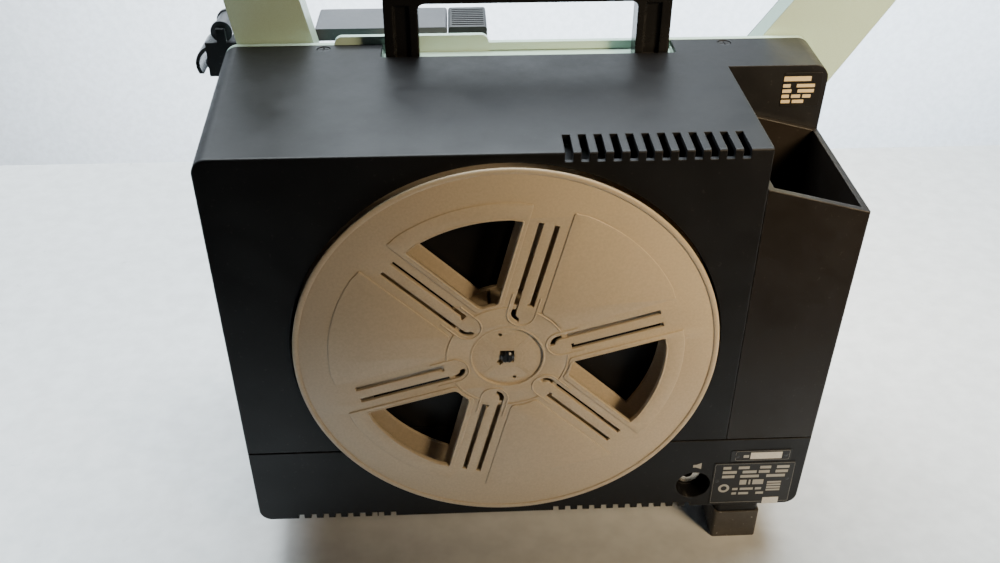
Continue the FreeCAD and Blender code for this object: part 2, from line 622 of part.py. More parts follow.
def sound_drum():
    """Sound drum on its shaft, with the flywheel behind the casting's web."""
    shaft = rod(DRUM_X, DRUM_Z, SHAFT_R, WEB_Y - 20, FILM_Y + 9)
    drum = rod(DRUM_X, DRUM_Z, DRUM_R, FILM_Y - 8, FILM_Y + 8)
    flywheel = rod(DRUM_X, DRUM_Z, 30, WEB_Y - 20, WEB_Y - 12.5)
    return fuse([shaft, drum, flywheel])


def main_shaft():
    """Through shaft with the belt pulley."""
    shaft = rod(MAIN_X, MAIN_Z, SHAFT_R, 60, PANEL_BACK_Y - 6)
    pulley = rod(MAIN_X, MAIN_Z, 24, 70, 82)
    groove = tube(MAIN_X, MAIN_Z, 26, 21, 73, 79)
    gear = rod(MAIN_X, MAIN_Z, 13, WEB_Y - 10, WEB_Y - 3)
    return fuse([shaft, pulley, gear]).cut(groove)


def inching_knob():
    """Fluted knob on the main shaft's operator end."""
    knob = rod(MAIN_X, MAIN_Z, 14, PANEL_BACK_Y - 18, PANEL_BACK_Y - 4)
    rim = [e for e in knob.Edges if e.BoundBox.YLength < 1e-6 and e.BoundBox.YMax > PANEL_BACK_Y - 5]
    knob = knob.makeFillet(2, rim)
    for i in range(18):
        a = math.radians(i * 20)
        knob = knob.cut(rod(MAIN_X + 14.6 * math.cos(a), MAIN_Z + 14.6 * math.sin(a), 1.3,
                            PANEL_BACK_Y - 20, PANEL_BACK_Y - 6))
    return knob.cut(rod(MAIN_X, MAIN_Z, SHAFT_R, 0, PANEL_BACK_Y - 6))


def barrel_shutter():
    """Cup-shaped shutter with two windows, turning across the light beam."""
    y0 = PLATE_BACK_Y + 2
    y1 = FILM_Y + 13
    cup = tube(SHUTTER_X, LENS_Z, SHUTTER_R, SHUTTER_R - 1.2, y0, y1)
    end = rod(SHUTTER_X, LENS_Z, SHUTTER_R, y0, y0 + 1.5)
    shaft = rod(SHUTTER_X, LENS_Z, SHAFT_R, WEB_Y - 12, y0 + 1)
    window = box(SHUTTER_X - 20, SHUTTER_X + 20, FILM_Y - 8, FILM_Y + 8, LENS_Z - 8, LENS_Z + 8)
    pulley = rod(SHUTTER_X, LENS_Z, 10, WEB_Y - 10, WEB_Y - 3)
    return fuse([cup, end, shaft, pulley]).cut(window)


def motor_body():
    """Motor case with end bells and mounting ears on the web."""
    case = rod(MOTOR_X, MOTOR_Z, MOTOR_R, *MOTOR_CASE_Y)
    bell = rod(MOTOR_X, MOTOR_Z, MOTOR_R - 8, MOTOR_CASE_Y[0] - 2, MOTOR_CASE_Y[1] + 4)
    ears = [rod(MOTOR_X + sx * 27, MOTOR_Z + sz * 27, 4.5, 110, WEB_Y)
            for sx, sz in ((-1, 1), (1, 1), (1, -1), (-1, -1))]
    body = fuse([case, bell] + ears)
    return body.cut(rod(MOTOR_X, MOTOR_Z, SHAFT_R + RUN_FIT, 80, 140))


def motor_rotor():
    """Motor shaft with its drive pulley."""
    shaft = rod(MOTOR_X, MOTOR_Z, SHAFT_R, 32, 142)
    pulley = rod(MOTOR_X, MOTOR_Z, 9, 70, 82)
    groove = tube(MOTOR_X, MOTOR_Z, 11, 7, 73, 79)
    return fuse([shaft, pulley]).cut(groove)


def fan_wheel():
    """Squirrel-cage blower wheel on the motor shaft."""
    plate = rod(MOTOR_X, MOTOR_Z, 27, 34, 36)
    hub = rod(MOTOR_X, MOTOR_Z, 7, 34, 46)
    ring = tube(MOTOR_X, MOTOR_Z, 27, 24.5, 52, 54)
    blades = []
    for i in range(24):
        blade = box(MOTOR_X + 24.2, MOTOR_X + 26.8, 35.5, 53, MOTOR_Z - 0.5, MOTOR_Z + 0.5)
        blade.rotate(V(MOTOR_X, 0, MOTOR_Z), V(0, 1, 0), i * 15)
        blades.append(blade)
    wheel = fuse([plate, hub, ring] + blades)
    return wheel.cut(rod(MOTOR_X, MOTOR_Z, SHAFT_R, 30, 60))


def blower_housing():
    """Scroll casing round the fan, blowing down and towards the lamp."""
    scroll = rod(MOTOR_X, MOTOR_Z, 36, 26, 60)
    outlet = box(MOTOR_X - 36, MOTOR_X - 8, 26, 60, MOTOR_Z - 48, MOTOR_Z)
    inside = rod(MOTOR_X, MOTOR_Z, 33.5, 28.5, 57.5)
    duct = box(MOTOR_X - 33.5, MOTOR_X - 10.5, 28.5, 57.5, MOTOR_Z - 60, MOTOR_Z)
    inlet = rod(MOTOR_X, MOTOR_Z, 20, 50, 70)
    casing_shell = scroll.fuse(outlet).cut(inside).cut(duct).cut(inlet)
    struts = []
    for angle in (0, 90, 135, 315):
        a = math.radians(angle)
        struts.append(rod(MOTOR_X + 32 * math.cos(a), MOTOR_Z + 32 * math.sin(a), 3, 59, MOTOR_CASE_Y[0]))
    return fuse([casing_shell] + struts)


def drive_belt():
    """Round belt from the motor to the main shaft, as a straight-sided loop."""
    dx = MAIN_X - MOTOR_X
    dz = MAIN_Z - MOTOR_Z
    span = math.hypot(dx, dz)
    r_small = 9.4
    r_large = 23.4
    lean = math.asin((r_large - r_small) / span)
    loops = []
    for grow in (0, -2.2):
        a = r_small + grow
        b = r_large + grow
        pts = []
        for side in (-1, 1):
            pts.append(V(side * a * math.cos(lean), 74.9, -a * math.sin(lean)))
            pts.append(V(side * b * math.cos(lean), 74.9, span - b * math.sin(lean)))
        web = Part.Face(Part.makePolygon([pts[0], pts[1], pts[3], pts[2], pts[0]])).extrude(V(0, 2.2, 0))
        loops.append(fuse([web, rod(0, 0, a, 74.9, 77.1), rod(0, span, b, 74.9, 77.1)]))
    belt = loops[0].cut(loops[1])
    belt.rotate(V(0, 0, 0), V(0, 1, 0), math.degrees(math.atan2(dx, dz)))
    belt.translate(V(MOTOR_X, 0, MOTOR_Z))
    return belt


def lens_holder():
    """Clamp block that the lens slides in."""
    block = rounded_box(GATE_X - 58, GATE_X - 12, PLATE_BACK_Y, FILM_Y + 22,
                        LENS_Z - 26, LENS_Z + 26, 8, (1, 0, 0))
    return block.cut(rod_x(FILM_Y, LENS_Z, LENS_R + RUN_FIT, GATE_X - 80, GATE_X + 20))


def lens_barrel():
    """Projection lens barrel with a knurled front ring."""
    barrel = rod_x(FILM_Y, LENS_Z, LENS_R, GATE_X - 87, GATE_X - 8)
    ring = rod_x(FILM_Y, LENS_Z, LENS_R + 2.5, GATE_X - 96, GATE_X - 82)
    body = fuse([barrel, ring])
    body = body.cut(rod_x(FILM_Y, LENS_Z, LENS_R - 5, GATE_X - 97, GATE_X - 87))
    return body.cut(rod_x(FILM_Y, LENS_Z, LENS_R - 8, GATE_X - 94, GATE_X - 2))


def lens_glass():
    """Front and rear glass elements."""
    return group([rod_x(FILM_Y, LENS_Z, LENS_R - 5, GATE_X - 92, GATE_X - 87),
                  rod_x(FILM_Y, LENS_Z, LENS_R - 8, GATE_X - 16, GATE_X - 11)])


def focus_knob():
    """Focus knob under the lens."""
    x = GATE_X - 35
    z = LENS_Z - 36
    knob = rod(x, z, 9, FILM_Y + 8, FILM_Y + 24)
    for i in range(14):
        a = math.radians(i * 360 / 14)
        knob = knob.cut(rod(x + 9.4 * math.cos(a), z + 9.4 * math.sin(a), 0.9, FILM_Y + 10, FILM_Y + 25))
    stem = rod(x, z, 2.5, PLATE_BACK_Y + 0.5, FILM_Y + 8)
    return fuse([knob, stem])


def film_gate():
    """Aperture plate with a polished film channel and the picture opening."""
    plate = box(GATE_X - 2, GATE_X + 2, PLATE_BACK_Y, FILM_Y + 12, LENS_Z - 38, LENS_Z + 38)
    plate = plate.cut(box(GATE_X - 3, GATE_X - 1.2, FILM_Y - 8, FILM_Y + 8, LENS_Z - 50, LENS_Z + 50))
    return plate.cut(box(GATE_X - 5, GATE_X + 5, FILM_Y - 4.8, FILM_Y + 4.8, LENS_Z - 3.6, LENS_Z + 3.6))


LAMP_BOX = (-66.0, 40.0, 152.0, 222.0)
LAMP_BACK_Y = PANEL_BACK_Y + 4
LAMP_R = 17.0
HINGE_R = 2.5


def lamp_house():
    """Vented sheet-metal housing, open on the operator's side."""
    x0, x1, z0, z1 = LAMP_BOX
    y1 = LAMP_BACK_Y
    shell = rounded_box(x0, x1, PLATE_BACK_Y, y1, z0, z1, 5)
    shell = shell.cut(rounded_box(x0 + 2, x1 - 2, PLATE_BACK_Y + 2, y1 + 5, z0 + 2, z1 - 2, 3))
    shell = shell.cut(rod_x(FILM_Y, LENS_Z, 12, x0 - 2, x0 + 4))
    for i in range(9):
        x = x0 + 14 + i * 9
        shell = shell.cut(box(x, x + 4, PLATE_BACK_Y + 8, y1 - 8, z1 - 4, z1 + 2))
        shell = shell.cut(box(x, x + 4, PLATE_BACK_Y + 8, y1 - 8, z0 - 2, z0 + 4))
    return shell


def lamp_door():
    """Door of the lamp house, hinged along its rear edge."""
    x0, x1, z0, z1 = LAMP_BOX
    y1 = LAMP_BACK_Y
    door = rounded_box(x0, x1, y1 + 0.5, y1 + 3, z0, z1, 5)
    grip = rounded_box(x0 + 4, x0 + 9, y1 + 3, y1 + 7, LENS_Z - 12, LENS_Z + 12, 2)
    barrel = rod_z(x1 + HINGE_R, y1 + HINGE_R, HINGE_R, z0 + 6, z1 - 6)
    leaf = box(x1 - 6, x1 + HINGE_R, y1 + 0.5, y1 + HINGE_R, z0 + 6, z1 - 6)
    return fuse([door, grip, barrel, leaf])


def projection_lamp():
    """Reflector lamp: a bowl facing the gate, with its base."""
    bowl = Part.makeCone(LAMP_R, 8, 26, V(-26, FILM_Y, LENS_Z), V(1, 0, 0))
    inside = Part.makeCone(LAMP_R - 2, 6, 24, V(-26.5, FILM_Y, LENS_Z), V(1, 0, 0))
    base = rod_x(FILM_Y, LENS_Z, 8, 0, 12)
    bulb = rod_x(FILM_Y, LENS_Z, 4, -14, 1)
    return fuse([bowl.cut(inside), base, bulb])


def lamp_socket():
    """Ceramic lamp socket on its bracket."""
    block = box(12, 24, FILM_Y - 12, FILM_Y + 12, LENS_Z - 9, LENS_Z + 9)
    foot = box(16, 20, PLATE_BACK_Y + 2, FILM_Y - 12, LENS_Z - 9, LENS_Z + 9)
    return fuse([block, foot])


def exciter_cover():
    """Small box over the exciter lamp, beside the sound drum."""
    shell = rounded_box(-128, -102, PLATE_BACK_Y, FILM_Y + 14, 100, 128, 3)
    shell = shell.cut(box(-126, -104, PLATE_BACK_Y + 2, FILM_Y + 12, 102, 126))
    return shell.cut(rod_x(FILM_Y, 112, 4, -106, -100))


CHANNEL_X = (-134.0, -48.0)


def film_channel_cover():
    """Smooth top cover over the upper film path."""
    return rounded_box(CHANNEL_X[0], CHANNEL_X[1], PLATE_BACK_Y + 0.3, PANEL_BACK_Y + 1,
                       TOP_Z - 6, TOP_Z + 2, 2)


def ribbed_cover():
    """Ribbed end piece of the top cover."""
    block = rounded_box(CHANNEL_X[1] + 0.5, CHANNEL_X[1] + 26, PLATE_BACK_Y + 0.3, PANEL_BACK_Y + 1,
                        TOP_Z - 6, TOP_Z + 2, 2)
    y = PLATE_BACK_Y + 4
    while y < PANEL_BACK_Y - 3:
        block = block.cut(box(CHANNEL_X[1] + 3, CHANNEL_X[1] + 24, y, y + 1.6, TOP_Z + 0.8, TOP_Z + 5))
        y += 3.6
    return block


GUIDE_X = -HALF - 18
GUIDE_Z = TOP_Z - 3.0


def guide_bracket():
    """Hooked bracket at the front top corner that carries the film entry rollers."""
    back = box(GUIDE_X - 9, GUIDE_X + 46, PLATE_BACK_Y, PLATE_BACK_Y + 3, GUIDE_Z - 26, GUIDE_Z - 3)
    hood = tube(GUIDE_X - 4, GUIDE_Z - 18, 13, 10.5, PLATE_BACK_Y, FILM_Y + 9)
    keep = box(GUIDE_X - 30, GUIDE_X + 20, PLATE_Y, FILM_Y + 20, GUIDE_Z - 24, GUIDE_Z + 10)
    pins = [rod(GUIDE_X - 4, GUIDE_Z - 18, 2, PLATE_BACK_Y + 1, FILM_Y + 9),
            rod(GUIDE_X + 2, GUIDE_Z + 3, 2, PLATE_BACK_Y + 1, FILM_Y + 9)]
    arm = box(GUIDE_X - 1, GUIDE_X + 5, PLATE_BACK_Y, PLATE_BACK_Y + 3, GUIDE_Z - 10, GUIDE_Z + 6)
    boss = rod(GUIDE_X - 4, GUIDE_Z - 18, 5.5, PLATE_BACK_Y, PLATE_BACK_Y + 3)
    stay = box(GUIDE_X - 6, GUIDE_X + 8, PLATE_BACK_Y, PLATE_BACK_Y + 3, GUIDE_Z - 20, GUIDE_Z - 4)
    return fuse([back, hood.common(keep), arm, boss, stay] + pins)


def guide_roller(x, z, r):
    """Film roller with raised ends, on a bracket pin."""
    y0 = PLATE_BACK_Y + 3.5
    y1 = FILM_Y + 8.5
    roller = tube(x, z, r, 2 + RUN_FIT, y0, y1)
    return roller.cut(tube(x, z, r + 2, r - 1, y0 + 3, y1 - 3))


def control_panel():
    """Moulded housing for amplifier controls and speaker, under the film path."""
    x0 = -HALF + 4
    x1 = HALF - 4
    z0 = BASE_Z + 2
    shell = rounded_box(x0, x1, PANEL_Y, PANEL_BACK_Y, z0, PANEL_TOP_Z, 7)
    shell = shell.cut(box(x0 + WALL, x1 - WALL, PANEL_Y - 2, PANEL_BACK_Y - WALL,
                          z0 + WALL, PANEL_TOP_Z - WALL))
    shell = shell.cut(rod(SPEAKER_X, PANEL_MID_Z, 24, PANEL_BACK_Y - 10, PANEL_BACK_Y + 2))
    for x in KNOB_X:
        shell = shell.cut(rod(x, PANEL_MID_Z, SHAFT_R + RUN_FIT, PANEL_BACK_Y - 10, PANEL_BACK_Y + 2))
    shell = shell.cut(rod(SWITCH_X, PANEL_MID_Z, 4.3, PANEL_BACK_Y - 10, PANEL_BACK_Y + 2))
    foot = rounded_box(FOOT_X - FOOT_W / 2 + 1, FOOT_X + FOOT_W / 2 - 1, FOOT_Y[1] + 1,
                       FOOT_Y[1] + FOOT_W - 1, FOOT_H, z0 + 1, 3, (0, 0, 1))
    return shell.fuse(foot).removeSplitter()


SPEAKER_X = -HALF + 58
PANEL_MID_Z = BASE_Z + 2 + PANEL_HEIGHT / 2
KNOB_X = [-40.0, 5.0, 60.0]
KNOB_R = [11.0, 11.0, 17.0]
SWITCH_X = 110.0


def speaker_grille():
    """Perforated round grille set in the panel."""
    disc = rod(SPEAKER_X, PANEL_MID_Z, 23.7, PANEL_BACK_Y - 2.5, PANEL_BACK_Y - 0.5)
    holes = []
    for row in range(-5, 6):
        for col in range(-5, 6):
            x = SPEAKER_X + 3.8 * col + (1.9 if row % 2 else 0)
            z = PANEL_MID_Z + 3.4 * row
            if math.hypot(x - SPEAKER_X, z - PANEL_MID_Z) < 19:
                holes.append(rod(x, z, 1.0, PANEL_BACK_Y - 5, PANEL_BACK_Y + 1))
    return disc.cut(Part.makeCompound(holes))


def speaker():
    """Loudspeaker with basket, cone and magnet."""
    frame = tube(SPEAKER_X, PANEL_MID_Z, 26, 22, PANEL_BACK_Y - 6.5, PANEL_BACK_Y - 3.2)
    cone = Part.makeCone(9, 23, 14, V(SPEAKER_X, PANEL_BACK_Y - 18, PANEL_MID_Z), V(0, 1, 0))
    inner = Part.makeCone(8, 22, 14, V(SPEAKER_X, PANEL_BACK_Y - 17, PANEL_MID_Z), V(0, 1, 0))
    magnet = rod(SPEAKER_X, PANEL_MID_Z, 16, PANEL_BACK_Y - 30, PANEL_BACK_Y - 17.5)
    return fuse([frame, cone.cut(inner), magnet])


def panel_knob(x, r):
    """Round control knob on its shaft, with a pointer groove."""
    knob = rod(x, PANEL_MID_Z, r, PANEL_BACK_Y + 1, PANEL_BACK_Y + 12)
    knob = knob.makeFillet(1.5, [e for e in knob.Edges if e.BoundBox.YMin > PANEL_BACK_Y + 11.9])
    shaft = rod(x, PANEL_MID_Z, SHAFT_R, PANEL_BACK_Y - 16, PANEL_BACK_Y + 2)
    groove = box(x - 0.8, x + 0.8, PANEL_BACK_Y + 11, PANEL_BACK_Y + 13, PANEL_MID_Z, PANEL_MID_Z + r)
    return fuse([knob, shaft]).cut(groove)


def lamp_button():
    """Push button for the lamp."""
    cap = rod(SWITCH_X, PANEL_MID_Z, 4.0, PANEL_BACK_Y - 8, PANEL_BACK_Y + 4)
    collar = rod(SWITCH_X, PANEL_MID_Z, 5.5, PANEL_BACK_Y - 8, PANEL_BACK_Y - 6.5)
    return fuse([cap, collar])


LOOP_X = 30.0
LOOP_Z = 120.0


def loop_lever():
    """Sprung lever that resets the film loop."""
    hub = rod(LOOP_X + 40, LOOP_Z, 7, PLATE_BACK_Y + 1, PLATE_BACK_Y + 9)
    bar = rounded_box(LOOP_X + 66, LOOP_X + 104, PLATE_BACK_Y + 3, PLATE_BACK_Y + 7,
                      LOOP_Z - 4, LOOP_Z + 4, 2)
    bar.translate(V(-22, 0, 0))
    pad = rod(LOOP_X + 78, LOOP_Z, 6, PLATE_BACK_Y + 3, FILM_Y + 12)
    body = fuse([hub, bar, pad])
    return body.cut(rod(LOOP_X + 40, LOOP_Z, 3 + RUN_FIT, PLATE_Y, FILM_Y))


# ---- inside the rear cover ----------------------------------------------------------------
def transformer_core():
    """Laminated core standing on the tray."""
    core = box(-100, -40, 60, 100, BASE_Z + WALL, BASE_Z + 54)
    return core.cut(box(-90, -77, 50, 110, BASE_Z + 16, BASE_Z + 44)).cut(
        box(-63, -50, 50, 110, BASE_Z + 16, BASE_Z + 44))


def transformer_coil():
    """Wound bobbin round the core's middle leg."""
    coil = rounded_box(-88.5, -51.5, 54, 106, BASE_Z + 17, BASE_Z + 43, 2, (0, 0, 1))
    return coil.cut(box(-77, -63, 60, 100, BASE_Z + 10, BASE_Z + 50))


def amplifier_board():
    """Circuit board on posts, with its parts facing the reel well."""
    x = -HALF + 10
    y = WEB_Y - 28.3
    z = TOP_Z - 123
    board = box(x, x + 74, y, y + 1.6, z, z + 80)
    parts = [rod(x + 8 + i * 14, z + 70, 4, y - 14, y) for i in range(5)]
    parts += [box(x + 6 + i * 22, x + 18 + i * 22, y - 8, y, z + 36, z + 52) for i in range(3)]
    parts += [rod(x + 10 + i * 18, z + 16, 2.5, y - 6, y) for i in range(4)]
    posts = [rod(x + dx, z + dz, 3, y + 1.6, WEB_Y) for dx in (5, 56) for dz in (5, 75)]
    return fuse([board] + parts + posts)


def speaker_jack():
    """Phone jack in its recess."""
    x = JACK_X - 2
    z = JACK_Z + 2
    barrel = rod(x, z, 6.0, 10, 24)
    nut = rod(x, z, 7.6, 8.5, 12)
    jack = fuse([barrel, nut])
    return jack.cut(rod(x, z, 3.2, 5, 22))


AC_X = (POCKET_X + HALF) / 2 + 3.5
AC_Z = BASE_Z + 164


def ac_inlet():
    """Mains inlet low in the pocket's back wall."""
    y = POCKET_DEPTH + WALL
    body = rounded_box(AC_X - 12, AC_X + 12, y, y + 14, AC_Z - 8, AC_Z + 8, 2)
    body = body.cut(box(AC_X - 8, AC_X + 8, y - 1, y + 10, AC_Z - 5, AC_Z + 5))
    pins = [box(AC_X + dx, AC_X + dx + 1, y + 2, y + 11, AC_Z - 2, AC_Z + 3) for dx in (-5, 4)]
    return fuse([body] + pins)


def feet():
    """Two rubber rear feet."""
    blocks = []
    for y in FOOT_Y:
        block = box(FOOT_X - FOOT_W / 2, FOOT_X + FOOT_W / 2, y, y + FOOT_W, 0, FOOT_H)
        blocks.append(block.makeFillet(2.0, parallel_edges(block, (0, 0, 1))))
    return group(blocks)


def elevator_foot():
    """Threaded front foot with a rubber-shod knurled wheel."""
    stem = rod_z(ELEVATOR_X, ELEVATOR_Y, ELEVATOR_R, 10, SEAM_Z - 12)
    wheel = rod_z(ELEVATOR_X, ELEVATOR_Y, 18, 0, 12)
    for i in range(24):
        a = math.radians(i * 15)
        x = ELEVATOR_X + 18.6 * math.cos(a)
        y = ELEVATOR_Y + 18.6 * math.sin(a)
        wheel = wheel.cut(rod_z(x, y, 1.3, 2, 20))
    return fuse([stem, wheel])


def cover_screws():
    """Countersunk screws in the rear cover's top."""
    screws = []
    for x, y in COVER_SCREWS:
        shank = rod_z(x, y, SCREW_R, TOP_Z - 12, top_z(y) - 1.4)
        head = rod_z(x, y, SCREW_R + 1.8, top_z(y) - 1.6, top_z(y) - 0.4)
        slot = box(x - 3, x + 3, y - 0.4, y + 0.4, top_z(y) - 1.0, top_z(y) + 1)
        cross = box(x - 0.4, x + 0.4, y - 3, y + 3, top_z(y) - 1.0, top_z(y) + 1)
        screws.append(fuse([shank, head]).cut(slot).cut(cross))
    return group(screws)


def handle_screws():
    """Screws up into the handle's legs, from under the casting's rail."""
    screws = []
    for x in HANDLE_SCREWS:
        shank = rod_z(x, HANDLE_MID_Y, SCREW_R, TOP_Z - WALL - RAIL_H - 1, HANDLE_BASE_Z + 14)
        head = rod_z(x, HANDLE_MID_Y, SCREW_R + 2, TOP_Z - WALL - RAIL_H - 3, TOP_Z - WALL - RAIL_H)
        screws.append(fuse([shank, head]))
    return group(screws)


def rear_cover_with_inlet():
    """Rear cover with the opening for the mains inlet and the post."""
    cover = rear_cover()
    cover = cover.cut(rod(REEL_X, REEL_Z, SPINDLE_R + RUN_FIT, WELL_DEPTH - 5, WELL_DEPTH + 10))
    return cover.cut(box(AC_X - 9, AC_X + 9, POCKET_DEPTH - 5, POCKET_DEPTH + WALL, AC_Z - 6, AC_Z + 6))


def pocket_with_inlet():
    """Cord pocket with the same opening."""
    return cord_pocket().cut(box(AC_X - 9, AC_X + 9, POCKET_DEPTH - 10, POCKET_DEPTH + 2,
                                 AC_Z - 6, AC_Z + 6))


# ---- assembly -----------------------------------------------------------------------------
def build():
    """Every node of the object, as drawn."""
    nodes = {
        "main_casting": main_casting(),
        "rear_cover": rear_cover_with_inlet(),
        "base_tray": base_tray(),
        "cord_pocket": pocket_with_inlet(),
        "ac_inlet": ac_inlet(),
        "top_handle": top_handle(),
        "handle_screws": handle_screws(),
        "cover_screws": cover_screws(),
        "label_plates": label_plates(),
        "speaker_jack": speaker_jack(),
        "rear_feet": feet(),
        "elevator_foot": elevator_foot(),
        "reel_front_flange": flange(REEL_FRONT_Y + FLANGE_T, REEL_FRONT_Y),
        "reel_rear_flange": flange(REEL_BACK_Y - FLANGE_T, REEL_BACK_Y),
        "reel_core": reel_core(),
        "storage_spindle": storage_spindle(),
        "front_arm": arm_shell(FRONT_PIVOT, FRONT_ARM_LENGTH, -FRONT_ARM_LEAN, FRONT_ARM_R),
        "front_arm_cover": arm_cover(FRONT_PIVOT, FRONT_ARM_LENGTH, -FRONT_ARM_LEAN, FRONT_ARM_R),
        "feed_spindle": arm_spindle(FRONT_PIVOT, FRONT_ARM_LENGTH, -FRONT_ARM_LEAN),
        "rear_arm": arm_shell(REAR_PIVOT, REAR_ARM_LENGTH, REAR_ARM_LEAN, REAR_ARM_R),
        "rear_arm_cover": arm_cover(REAR_PIVOT, REAR_ARM_LENGTH, REAR_ARM_LEAN, REAR_ARM_R),
        "takeup_spindle": arm_spindle(REAR_PIVOT, REAR_ARM_LENGTH, REAR_ARM_LEAN),
        "mechanism_plate": mechanism_plate(),
        "sound_drum": sound_drum(),
        "main_shaft": main_shaft(),
        "inching_knob": inching_knob(),
        "barrel_shutter": barrel_shutter(),
        "motor_body": motor_body(),
        "motor_rotor": motor_rotor(),
        "fan_wheel": fan_wheel(),
        "blower_housing": blower_housing(),
        "drive_belt": drive_belt(),
        "lens_holder": lens_holder(),
        "lens_barrel": lens_barrel(),
        "lens_glass": lens_glass(),
        "focus_knob": focus_knob(),
        "film_gate": film_gate(),
        "lamp_house": lamp_house(),
        "lamp_door": lamp_door(),
        "projection_lamp": projection_lamp(),
        "lamp_socket": lamp_socket(),
        "exciter_cover": exciter_cover(),
        "film_channel_cover": film_channel_cover(),
        "ribbed_cover": ribbed_cover(),
        "guide_bracket": guide_bracket(),
        "upper_guide_roller": guide_roller(GUIDE_X + 2, GUIDE_Z + 3, 7),
        "lower_guide_roller": guide_roller(GUIDE_X - 4, GUIDE_Z - 18, 7),
        "control_panel": control_panel(),
        "speaker_grille": speaker_grille(),
        "speaker": speaker(),
        "lamp_button": lamp_button(),
        "loop_lever": loop_lever(),
        "transformer_core": transformer_core(),
        "transformer_coil": transformer_coil(),
        "amplifier_board": amplifier_board(),
    }
    for name, x, z in SPROCKETS:
        nodes[name] = sprocket(x, z)
    for name, x, r in zip(("tone_knob", "volume_knob", "function_knob"), KNOB_X, KNOB_R):
        nodes[name] = panel_knob(x, r)
    return nodes


def origin_shift(nodes):
    """Move that puts the origin on the floor under the middle of the object's box."""
    whole = Part.makeCompound(list(nodes.values())).BoundBox
    return V(-(whole.XMin + whole.XMax) / 2, -(whole.YMin + whole.YMax) / 2, -whole.ZMin)


NODES = build()
SHIFT = origin_shift(NODES)
os.makedirs("parts", exist_ok=True)
for node_name, node_shape in NODES.items():
    node_shape.translated(SHIFT).exportStep("parts/" + node_name + ".step")
print(len(NODES), "nodes, origin moved by", SHIFT)
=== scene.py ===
import math

import bmesh
import bpy
from mathutils import Matrix, Vector


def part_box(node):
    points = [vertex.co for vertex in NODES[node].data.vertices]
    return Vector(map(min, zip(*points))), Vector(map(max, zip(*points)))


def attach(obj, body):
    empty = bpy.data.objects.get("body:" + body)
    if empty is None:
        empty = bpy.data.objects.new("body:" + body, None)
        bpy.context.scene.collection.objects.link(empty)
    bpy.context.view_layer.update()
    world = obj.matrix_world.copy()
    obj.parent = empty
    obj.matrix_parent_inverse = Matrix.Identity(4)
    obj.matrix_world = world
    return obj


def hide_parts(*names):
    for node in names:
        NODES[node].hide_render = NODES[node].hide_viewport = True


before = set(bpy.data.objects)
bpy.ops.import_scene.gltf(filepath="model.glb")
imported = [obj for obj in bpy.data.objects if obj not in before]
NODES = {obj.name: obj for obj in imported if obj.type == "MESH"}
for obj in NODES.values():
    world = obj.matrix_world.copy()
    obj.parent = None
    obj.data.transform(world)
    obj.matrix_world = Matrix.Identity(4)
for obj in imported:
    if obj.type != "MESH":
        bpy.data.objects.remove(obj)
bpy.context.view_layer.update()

MM = 0.001


# ---- places from the frame ------------------------------------------------------------------
def low(node):
    """Lowest corner of a CAD node."""
    return Vector(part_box(node)[0])


def high(node):
    """Highest corner of a CAD node."""
    return Vector(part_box(node)[1])


def middle(node):
    """Middle of a CAD node's box."""
    return (low(node) + high(node)) / 2


REEL = Vector((middle("reel_front_flange").x, low("reel_front_flange").y, middle("reel_front_flange").z))
REEL_R = (high("reel_front_flange").x - low("reel_front_flange").x) / 2
FACE_Y = low("rear_cover").y
FLOOR_Z = low("rear_feet").z


